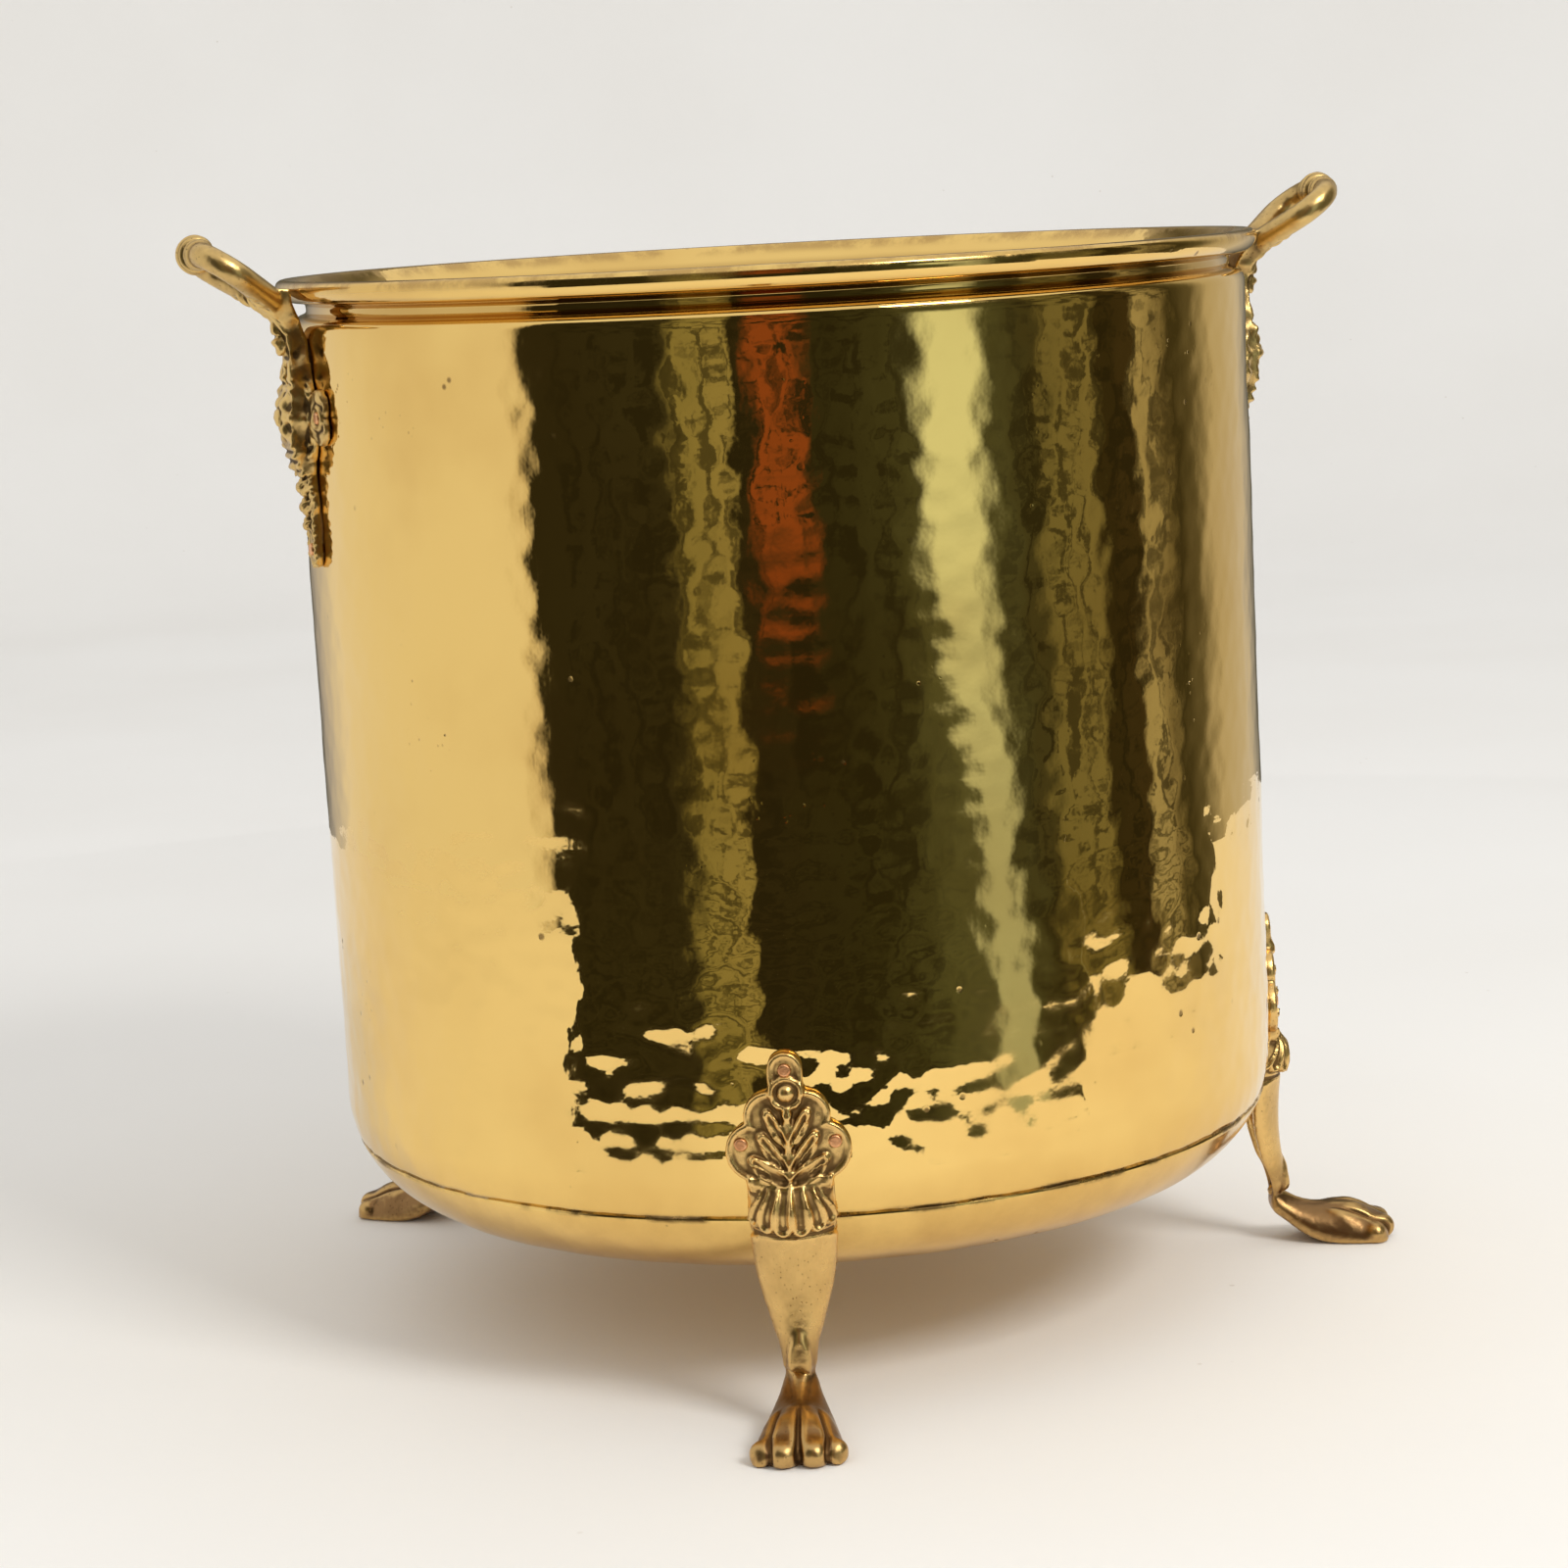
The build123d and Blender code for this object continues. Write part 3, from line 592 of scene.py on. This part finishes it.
def flower_relief(side, wide, drop):
    """A flower of six petals, the curled petals beside it and the small lobes round it."""
    ring = np.hypot(side, drop - FLOWER_DROP)
    angle = np.arctan2(drop - FLOWER_DROP, side)
    petals = 0.85 * np.cos(6 * angle) * ridge(ring, 6.6, 2.4) - 0.8 * ridge(ring, 3.3, 0.7)
    height = (1 - blend_in(ring, 9.4, 11.0)) * (petals + 0.5 * ridge(ring, 0.0, 1.7))
    curl = np.hypot(wide - CURL_SIDE, drop - FLOWER_DROP)
    turn = np.arctan2(drop - FLOWER_DROP, wide - CURL_SIDE)
    rolled = 0.6 * ridge(curl, 3.5, 0.6) + 0.5 * np.cos(5 * turn) * ridge(curl, 6.0, 1.6)
    height += blend_in(wide, 8.5, 10.5) * blend_in(curl, 2.4, 3.0) * (rolled - 0.4 * ridge(curl, 4.6, 0.5))
    lobes = (1 - blend_in(wide, 9.0, 11.0)) * blend_in(ring, 9.5, 11.0) * between(drop, 28.0, 32.0, 60.0, 62.0)
    return height + lobes * 0.55 * np.cos(math.tau * (ring + 1.2 * np.cos(4 * angle)) / 3.3)


def tail_relief(wide, drop):
    """Veins on the leaf-shaped tail, clear of its rivet."""
    tail = blend_in(drop, 56.0, 60.0) * blend_in(np.hypot(wide, drop - TAIL_RIVET_DROP), 2.6, 3.4)
    veins = 0.3 * np.cos(math.tau * (drop + 1.2 * wide) / 3.1)
    return tail * (0.5 * ridge(wide, 3.8, 0.6) + veins - 0.3 * ridge(wide, 2.2, 0.5))


print("flower is", FLOWER_DROP, "mm below the rim")


# %% The two cast handles
def handle_relief(out, side, up, front, upward):
    """Height of the handle's modelling, in millimetres."""
    wide = np.abs(side)
    drop = RIM_Z - up
    worked = stem_relief(out, wide, drop) + flower_relief(side, wide, drop) + tail_relief(wide, drop)
    height = blend_in(front, 0.15, 0.5) * worked
    lumps = np.array([noise.noise(Vector((o * LUMPS, s * LUMPS, u * LUMPS))) for o, s, u in zip(out, side, up)])
    ornament = between(drop, 8.0, 14.0, 62.0, 70.0) * blend_in(front, -0.6, -0.1)
    curl = np.hypot(wide - CURL_SIDE, drop - FLOWER_DROP)
    height += ornament * (lumps + 0.2) * blend_in(curl, 2.6, 3.6)
    middle = (1 - blend_in(drop, -1.0, 2.0)) * blend_in(out, 180.0, 184.0) * (1 - blend_in(wide, 8.0, 9.5))
    return height + middle * (0.35 * np.cos(math.tau * side / 2.7) - 0.1)


handles = {}
for name in ("left", "right"):
    handle = casting(f"handle_{name}", 0.5, handle_relief, 3)
    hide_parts(f"handle_{name}")
    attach(handle, "root")
    handles[name] = handle
    print("handle", name, "has", len(handle.data.polygons), "faces")

# %% [markdown]
# A finish is a material built from nodes. Two small classes keep that readable:
# a Wire is one socket that understands + - * /, and a Finish makes any node in
# one call. Settings go in first, then the sockets get numbers or wires.


# %% Shader maths in plain Python
class Wire:
    """A shader socket; sums on it add Math nodes."""

    def __init__(self, finish, socket):
        self.finish, self.socket = finish, socket

    def sum(self, operation, *values, clamp=False):
        settings = {"operation": operation, "use_clamp": clamp}
        return self.finish.node("ShaderNodeMath", settings, dict(enumerate(values)))

    def __add__(self, other):
        return self.sum("ADD", self, other)

    def __sub__(self, other):
        return self.sum("SUBTRACT", self, other)

    def __rsub__(self, other):
        return self.sum("SUBTRACT", other, self)

    def __mul__(self, other):
        return self.sum("MULTIPLY", self, other)

    def __truediv__(self, other):
        return self.sum("DIVIDE", self, other)

    def __pow__(self, other):
        return self.sum("POWER", self, other)

    __radd__, __rmul__ = __add__, __mul__

    def size(self):
        return self.sum("ABSOLUTE", self)

    def clamp(self):
        return self.sum("ADD", self, 0.0, clamp=True)

    def step(self, low, high):
        """0 where this is below low, 1 where it is above high; low may be the larger."""
        if low > high:
            return 1 - self.step(high, low)
        return self.finish.node("ShaderNodeMapRange", {"interpolation_type": "SMOOTHSTEP"},
                                {"Value": self, "From Min": low, "From Max": high})


class Finish:
    """One material and the nodes in it."""

    def __init__(self, name, **constants):
        self.material = bpy.data.materials.new(name)
        self.material.use_nodes = True
        self.tree = self.material.node_tree
        self.shader = self.tree.nodes["Principled BSDF"]
        for socket, value in constants.items():
            self.shader.inputs[socket.replace("_", " ")].default_value = value

    def node(self, kind, settings=None, sockets=None, output=0):
        """Make a node: its settings first, then the numbers or wires of its sockets."""
        made = self.tree.nodes.new(kind)
        for key, value in (settings or {}).items():
            if key == "stops":
                ramp = made.color_ramp
                while len(ramp.elements) < len(value):
                    ramp.elements.new(0.5)
                for element, (place, colour) in zip(ramp.elements, value):
                    element.position = place
                    element.color = (*colour, 1.0)
            else:
                setattr(made, key, value)
        for key, value in (sockets or {}).items():
            if isinstance(value, Wire):
                self.tree.links.new(value.socket, made.inputs[key])
            else:
                made.inputs[key].default_value = value
        return Wire(self, made.outputs[output])

    def places(self):
        """Where a point is, in metres."""
        return self.node("ShaderNodeTexCoord", output="Object")

    def noise(self, scale, detail=3.0, rough=0.55, stretch=None):
        """Cloudy noise; stretch squeezes it along X, Y or Z."""
        places = self.places()
        if stretch:
            places = self.node("ShaderNodeMapping", {}, {"Vector": places, "Scale": stretch})
        sockets = {"Vector": places, "Scale": scale, "Detail": detail, "Roughness": rough}
        return self.node("ShaderNodeTexNoise", {}, sockets)

    def cells(self, scale, feature="F1", output="Distance", randomness=1.0):
        """Distance to scattered points."""
        return self.node("ShaderNodeTexVoronoi", {"feature": feature},
                         {"Vector": self.places(), "Scale": scale, "Randomness": randomness}, output)

    def mix(self, share, first, second):
        """A colour between two colours."""
        def whole(colour):
            return colour if isinstance(colour, Wire) else (*colour, 1.0)
        sockets = {0: share, 6: whole(first), 7: whole(second)}
        return self.node("ShaderNodeMix", {"data_type": "RGBA"}, sockets, output=2)

    def axis(self, letter):
        """One coordinate of the point, in metres."""
        return self.node("ShaderNodeSeparateXYZ", {}, {"Vector": self.places()}, letter)

    def feed(self, **sockets):
        """Link wires to the shader's own sockets."""
        for name, wire in sockets.items():
            self.tree.links.new(wire.socket, self.shader.inputs[name.replace("_", " ")])
        return self.material

    def bump(self, height, depth, under=None):
        """Fine relief, depth in metres for a height of 1."""
        sockets = {"Height": height, "Distance": depth, "Strength": 1.0}
        if under is not None:
            sockets["Normal"] = under
        return self.node("ShaderNodeBump", {}, sockets)


print("finish maker ready")

# %% [markdown]
# Sheet brass is polished but old. Its colour drifts between lemon and brown,
# it carries cloudy tarnish, black pin-holes, hair scratches and a brown line
# along the seam and the lip's crest. Every one of these is a mask made from noise.
# Painted shade darkens the neck under the lip and the corner near the foot.


# %% Polished hammered brass
def sheet_brass():
    """Mirror-polished sheet with years of wear, and painted shade near the foot and under the lip."""
    f = Finish("hammered_sheet_brass", Metallic=1.0)
    clouds = f.noise(9.0, 4.0, 0.6)
    fine = f.noise(60.0, 5.0, 0.65)
    height = f.axis("Z")
    spots = f.cells(90.0)
    spot_pick = f.noise(24.0, 2.0, 0.5)
    spot = (spots + (fine - 0.5) * 0.12).step(0.12, 0.04) * spot_pick.step(0.56, 0.64)
    pin = f.cells(310.0).step(0.20, 0.10) * f.noise(21.0, 4.0, 0.7).step(0.58, 0.68) * fine.step(0.45, 0.6)
    seam_z = (CORNER_Z - CORNER_R * math.sin(math.radians(SEAM_TURN))) * MM
    wander = (f.noise(28.0, 4.0, 0.7) - 0.5) * 0.006
    seam = (height - seam_z + wander * 0.5).size().step(0.0018, 0.0003)
    seam = seam * fine.step(0.42, 0.62) * clouds.step(0.38, 0.5)
    # painted shade: the corner turns darker and browner towards the foot, standing for the pot's shadow on the
    # floor seen in the metal
    low = (height + wander * 2).step((CORNER_Z + 1.5) * MM, (BASE_Z + 10.0) * MM)
    lip = (height + wander * 0.3).step((RIM_Z - 4.5) * MM, (RIM_Z - 1.5) * MM) * fine.step(0.4, 0.62)
    # painted shade: a darker band on the neck and the underside of the rolled lip, where the lip overhangs it
    neck = (height + wander * 0.2).step((RIM_Z - 14.0) * MM, (RIM_Z - 12.0) * MM)
    neck = neck * (height + wander * 0.1).step((RIM_Z - 5.0) * MM, (RIM_Z - 7.5) * MM)
    tarnish = clouds.step(0.42, 0.74)
    gold = f.mix(tarnish, (0.90, 0.615, 0.205), (0.80, 0.520, 0.165))
    # painted shade near the foot, broken up by noise
    gold = f.mix(low * 0.55 * fine.step(0.2, 0.8), gold, (0.56, 0.32, 0.095))
    # painted shade under the lip
    gold = f.mix(neck * 0.45, gold, (0.42, 0.25, 0.08))
    gold = f.mix(lip * 0.6, gold, (0.40, 0.235, 0.085))
    gold = f.mix((spot * 0.75).clamp(), gold, (0.16, 0.085, 0.03))
    gold = f.mix((pin * 0.6 + seam * 0.85).clamp(), gold, (0.10, 0.055, 0.02))
    smear = f.noise(26.0, 4.0, 0.7, (1.0, 1.0, 0.35))
    rough = 0.030 + 0.07 * smear.step(0.45, 0.85) + 0.08 * tarnish * fine
    rough = rough + 0.30 * spot + 0.3 * seam + 0.22 * lip + 0.12 * low
    hair = f.noise(420.0, 2.0, 0.5, (1.0, 1.0, 0.06))
    hair_pick = f.noise(14.0, 2.0).step(0.48, 0.7)
    planish = f.noise(210.0, 2.0, 0.5)
    first = f.bump(planish, 0.000035)
    second = f.bump(hair * hair_pick, 0.00001, first)
    third = f.bump(1 - (pin + spot * fine).clamp(), 0.00012, second)
    return f.feed(Base_Color=gold, Roughness=rough, Normal=third)


brass = sheet_brass()
for piece in (pot_wall, pot_base):
    piece.data.materials.clear()
    piece.data.materials.append(brass)
print("sheet finish has", len(brass.node_tree.nodes), "nodes")

# %% [markdown]
# Cast brass is never buffed into its corners. High places are rubbed to a
# satin gold and the hollows keep brown dirt. The castings already hold how
# hollow each point is, so one finish can serve legs and handles with other colours.


# %% Cast brass, satin on the heights and brown in the hollows
def cast_brass(name, high, low_colour, dirt, rough_high, paw=False):
    """Sand-cast brass, rubbed and dirty."""
    f = Finish(name, Metallic=1.0)
    hollow = f.node("ShaderNodeAttribute", {"attribute_name": "hollow"}, output="Fac")
    clouds = f.noise(45.0, 4.0, 0.65)
    grain = f.noise(320.0, 4.0, 0.7)
    dirty = (hollow * 6.0 + (clouds - 0.5) * 1.1 + (grain - 0.5) * 0.6).step(0.08, 0.75)
    rubbed = (hollow * -6.0 + (grain - 0.5) * 0.4).step(0.15, 0.7)
    colour = f.mix(clouds.step(0.35, 0.7), high, low_colour)
    if paw:
        brown = (f.axis("Z") + (clouds - 0.5) * 0.02).step(0.034, 0.014)
        colour = f.mix(brown * 0.85, colour, (0.24, 0.125, 0.055))
        dirty = (dirty + brown * 0.15).clamp()
    colour = f.mix(rubbed * 0.55, colour, tuple(min(1.0, c * 1.22) for c in high))
    colour = f.mix(dirty * 0.86, colour, dirt)
    pit = f.cells(700.0).step(0.22, 0.1) * clouds.step(0.45, 0.6)
    colour = f.mix(pit * 0.5, colour, dirt)
    rough = rough_high + 0.16 * clouds + 0.24 * dirty + 0.2 * pit
    first = f.bump(grain, 0.00007)
    second = f.bump(1 - pit, 0.00009, first)
    return f.feed(Base_Color=colour, Roughness=rough, Normal=second)


leg_finish = cast_brass("leg_cast_brass", high=(0.76, 0.50, 0.185), low_colour=(0.60, 0.385, 0.14),
                        dirt=(0.13, 0.068, 0.025), rough_high=0.20, paw=True)
handle_finish = cast_brass("handle_cast_brass", high=(0.68, 0.47, 0.18), low_colour=(0.42, 0.27, 0.105),
                           dirt=(0.06, 0.034, 0.016), rough_high=0.24)
for pieces, finish in ((legs, leg_finish), (handles, handle_finish)):
    for piece in pieces.values():
        piece.data.materials.clear()
        piece.data.materials.append(finish)
print("cast finishes made")

# %% [markdown]
# The rivets are soft copper, pink where the hammer set them and brown round the
# edge. The wire inside the lip is plain black iron. Both keep their engineering
# shape, because that shape is already right, and only get a better finish.


# %% Copper and iron
def copper():
    """Hammered copper rivet heads."""
    f = Finish("rivet_copper", Metallic=1.0)
    clouds = f.noise(380.0, 4.0, 0.6)
    dirt = f.noise(900.0, 3.0, 0.7)
    colour = f.mix(clouds.step(0.35, 0.65), (0.93, 0.50, 0.25), (0.78, 0.37, 0.17))
    colour = f.mix(dirt.step(0.55, 0.75) * 0.7, colour, (0.17, 0.075, 0.04))
    rough = 0.24 + 0.25 * clouds
    return f.feed(Base_Color=colour, Roughness=rough, Normal=f.bump(clouds + dirt * 0.4, 0.00025))


def iron():
    """Black iron wire."""
    f = Finish("rim_iron", Metallic=1.0)
    rust = f.noise(300.0, 4.0, 0.7)
    colour = f.mix(rust.step(0.5, 0.7), (0.10, 0.095, 0.09), (0.22, 0.09, 0.04))
    return f.feed(Base_Color=colour, Roughness=0.4 + 0.3 * rust, Normal=f.bump(rust, 0.0001))


rivet_finish, wire_finish = copper(), iron()
rivet_count = 0
for name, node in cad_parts.items():
    if name.startswith("rivet_") or name == "rim_wire":
        node.data.materials.clear()
        node.data.materials.append(wire_finish if name == "rim_wire" else rivet_finish)
        rivet_count += name.startswith("rivet_")
print("copper rivets:", rivet_count)

# %% [markdown]
# The studio is a pale floor that sweeps up into a low wall far away, so no
# horizon shows. One ring turned about the pot makes both. The sheet has faint
# clouds and a few specks, as swept paper does.

# %% Floor and sweep
FLOOR_R, COVE_R, WALL_TOP = 2.1, 0.7, 1.25
sweep = [(0.001, 0.0)] + [(FLOOR_R * i / 8, 0.0) for i in range(1, 9)]
sweep += [(FLOOR_R + COVE_R * math.sin(t), COVE_R - COVE_R * math.cos(t))
          for t in np.linspace(0.1, math.pi / 2, 16)]
sweep.append((FLOOR_R + COVE_R, WALL_TOP))
sweep_rows = [(r / MM, z / MM, 0.0, 0.0) for r, z in sweep]


def still(turn, radius, height, n_out):
    """Paper lies flat: no point moves."""
    return np.zeros(turn.shape)


studio = spin("studio_sweep", sweep_rows, [96] * len(sweep), still, closed=False)


def paper():
    """Pale paper with faint clouds and specks."""
    f = Finish("studio_paper", Roughness=0.75)
    f.shader.inputs["Specular IOR Level"].default_value = 0.25
    clouds = f.noise(2.2, 3.0, 0.5)
    speck = f.cells(36.0).step(0.045, 0.02) * f.noise(5.0, 3.0).step(0.52, 0.62)
    colour = f.mix(clouds.step(0.3, 0.7), (0.87, 0.862, 0.845), (0.84, 0.828, 0.806))
    colour = f.mix(speck * 0.35, colour, (0.40, 0.33, 0.25))
    return f.feed(Base_Color=colour, Normal=f.bump(f.noise(160.0, 3.0), 0.00012))


studio.data.materials.append(paper())
print("studio floor radius:", FLOOR_R)

# %% [markdown]
# Polished metal shows the room and not itself. The room is a tall ring card that
# only reflections can see: pale on the left, dark in the middle with a few warm
# strips, and one cool window. A dark floor card stops the pale paper in front.

# %% The camera's place, because the room is laid out from it
CAMERA_TURN = math.radians(-14.5)
CAMERA_AWAY = 1.2184
CAMERA_UP = 0.3702


def from_axis(turn, away, up):
    """A point in metres, by its turn from the camera's side (radians, positive to the camera's right)."""
    bearing = CAMERA_TURN + turn
    return Vector((AXIS_X + away * math.sin(bearing), AXIS_Y - away * math.cos(bearing), up))


# The turn from the camera's side in degrees, and the room's colour there.
room_strips = [
    (-180, (0.30, 0.28, 0.24)), (-160, (0.10, 0.09, 0.06)), (-146, (0.45, 0.43, 0.40)),
    (-128, (0.82, 0.81, 0.78)), (-60, (0.84, 0.83, 0.80)), (-57, (0.66, 0.62, 0.54)),
    (-55.5, (0.030, 0.027, 0.014)), (-24, (0.038, 0.036, 0.020)), (-20, (0.24, 0.23, 0.11)),
    (-10, (0.30, 0.28, 0.14)), (-8.5, (0.030, 0.026, 0.014)), (12, (0.034, 0.034, 0.017)),
    (28, (0.060, 0.066, 0.036)), (50, (0.050, 0.054, 0.030)), (58, (0.060, 0.060, 0.032)),
    (61, (0.17, 0.165, 0.085)), (74, (0.20, 0.19, 0.10)), (77, (0.035, 0.030, 0.014)),
    (86, (0.05, 0.04, 0.02)), (89, (0.40, 0.38, 0.27)), (96, (0.22, 0.20, 0.13)),
    (101, (0.05, 0.045, 0.022)), (110, (0.12, 0.11, 0.07)), (120, (0.50, 0.47, 0.38)),
    (140, (0.60, 0.57, 0.50)), (158, (0.12, 0.11, 0.08)), (180, (0.30, 0.28, 0.24)),
]


def turn_wire(f):
    """Turn of the point from the camera's side, in degrees, -180 to 180."""
    x = f.axis("X") - AXIS_X
    y = AXIS_Y - f.axis("Y")
    c, s = math.cos(CAMERA_TURN), math.sin(CAMERA_TURN)
    across = x * c - y * s
    toward = x * s + y * c
    return across.sum("ARCTAN2", across, toward) * (180 / math.pi)


def room_card():
    """Emission that differs round the ring; black for the shader itself."""
    f = Finish("room_reflection", Roughness=1.0, Base_Color=(0, 0, 0, 1))
    f.shader.inputs["Specular IOR Level"].default_value = 0.0
    f.shader.inputs["Emission Strength"].default_value = 1.0
    turn = turn_wire(f)
    height = f.axis("Z")
    stops = [((t + 180) / 360, c) for t, c in room_strips]
    colour = f.node("ShaderNodeValToRGB", {"stops": stops}, {"Fac": (turn + 180) / 360})
    blotch = f.noise(16.0, 4.0, 0.65)
    front = turn.step(-50, -46) * turn.step(104, 96)
    colour = f.mix(blotch.step(0.46, 0.58) * front * 0.75, colour, (0.020, 0.018, 0.009))
    ember = turn.step(-7, -4) * turn.step(9, 5) * height.step(0.10, 0.20) * blotch.step(0.60, 0.44)
    colour = f.mix(ember, colour, (0.26, 0.075, 0.024))
    sheen = (turn - 40.0).size().step(17.0, 3.0) * 0.28
    colour = f.mix(sheen, colour, (0.20, 0.24, 0.16))
    middle = 38.0 + height.step(0.20, -0.02) * 7.0
    wide = 4.6 + height.step(0.0, 0.18) * 3.6
    window = ((turn - middle).size() / wide).step(1.25, 0.45) * height.step(0.46, 0.36)
    colour = f.mix(window * (0.55 + 0.45 * height.step(0.0, 0.25)), colour, (0.74, 0.88, 0.82))
    return f.feed(Emission_Color=colour)


CARD_PANELS = 96


def ring_card(name, inner, outer, low, high, start, end, material):
    """A card standing or lying between two radii and heights, over a range of turns in degrees."""
    turns = np.radians(np.linspace(start, end, CARD_PANELS + 1))
    points = [from_axis(t, inner, low) for t in turns] + [from_axis(t, outer, high) for t in turns]
    faces = [(i, i + 1, i + CARD_PANELS + 2, i + CARD_PANELS + 1) for i in range(CARD_PANELS)]
    card = put(name, points, faces)
    card.data.materials.append(material)
    for kind in ("camera", "diffuse", "transmission", "volume_scatter", "shadow"):
        setattr(card, "visible_" + kind, False)
    return card


room = room_card()
ring_card("room_wall_card", 1.0, 1.0, 0.0, 1.05, -180, 180, room)
ring_card("room_floor_card", 0.52, 1.0, 0.002, 0.002, -50, 62, room)
ring_card("room_floor_card_right", 0.66, 1.0, 0.003, 0.003, 62, 110, room)
print("room strips:", len(room_strips))

# %% [markdown]
# Soft light comes from everywhere, and one large lamp high on the right gives
# the glint on the shoulder and the faint shadow on the left.

# %% World and lamps
scene = bpy.context.scene
world = bpy.data.worlds.new("soft_sky")
world.use_nodes = True
world.node_tree.nodes["Background"].inputs["Color"].default_value = (1.0, 0.99, 0.975, 1.0)
world.node_tree.nodes["Background"].inputs["Strength"].default_value = 0.86
scene.world = world


def lamp(name, place, target, size, watts, colour):
    """A soft rectangular lamp aimed at a point."""
    data = bpy.data.lights.new(name, "AREA")
    data.shape = "RECTANGLE"
    data.size, data.size_y = size
    data.energy = watts
    data.color = colour
    made = bpy.data.objects.new(name, data)
    made.location = place
    made.rotation_euler = (Vector(target) - Vector(place)).to_track_quat("-Z", "Y").to_euler()
    scene.collection.objects.link(made)
    return made


aim = from_axis(0, 0, 0.2)
lamp("key_lamp", from_axis(math.radians(42), 1.75, 1.55), aim, (0.7, 0.7), 24.0, (1.0, 0.985, 0.95))

# %% [markdown]
# The camera stands a little above the rim and looks slightly down with a long
# lens. It is rolled by three degrees, because the pot was seen leaning that way.

# %% Camera
LENS = 84.8                   # millimetres on a 36 mm wide frame
lens = bpy.data.cameras.new("camera")
lens.sensor_width = 36.0
lens.lens = LENS
camera = bpy.data.objects.new("camera", lens)
scene.collection.objects.link(camera)
PITCH, YAW, ROLL = math.radians(9.379), math.radians(0.155), math.radians(-3.097)
level = Matrix(((1, 0, 0), (0, 0, -1), (0, 1, 0)))
yaw = Matrix(((math.cos(YAW), 0, math.sin(YAW)), (0, 1, 0), (-math.sin(YAW), 0, math.cos(YAW))))
tip = Matrix(((1, 0, 0), (0, math.cos(PITCH), -math.sin(PITCH)), (0, math.sin(PITCH), math.cos(PITCH))))
roll = Matrix(((math.cos(ROLL), -math.sin(ROLL), 0), (math.sin(ROLL), math.cos(ROLL), 0), (0, 0, 1)))
sight = roll @ tip @ yaw @ level
right, down, ahead = sight[0], sight[1], sight[2]
stand = Matrix.Rotation(CAMERA_TURN, 3, "Z")
columns = [stand @ right, -(stand @ down), -(stand @ ahead)]
aimed = Matrix(columns).transposed().to_4x4()
camera.matrix_world = Matrix.Translation(from_axis(0, CAMERA_AWAY, CAMERA_UP)) @ aimed
scene.camera = camera
scene.view_settings.view_transform = "Standard"
print("camera at", [round(v, 3) for v in camera.matrix_world.translation])
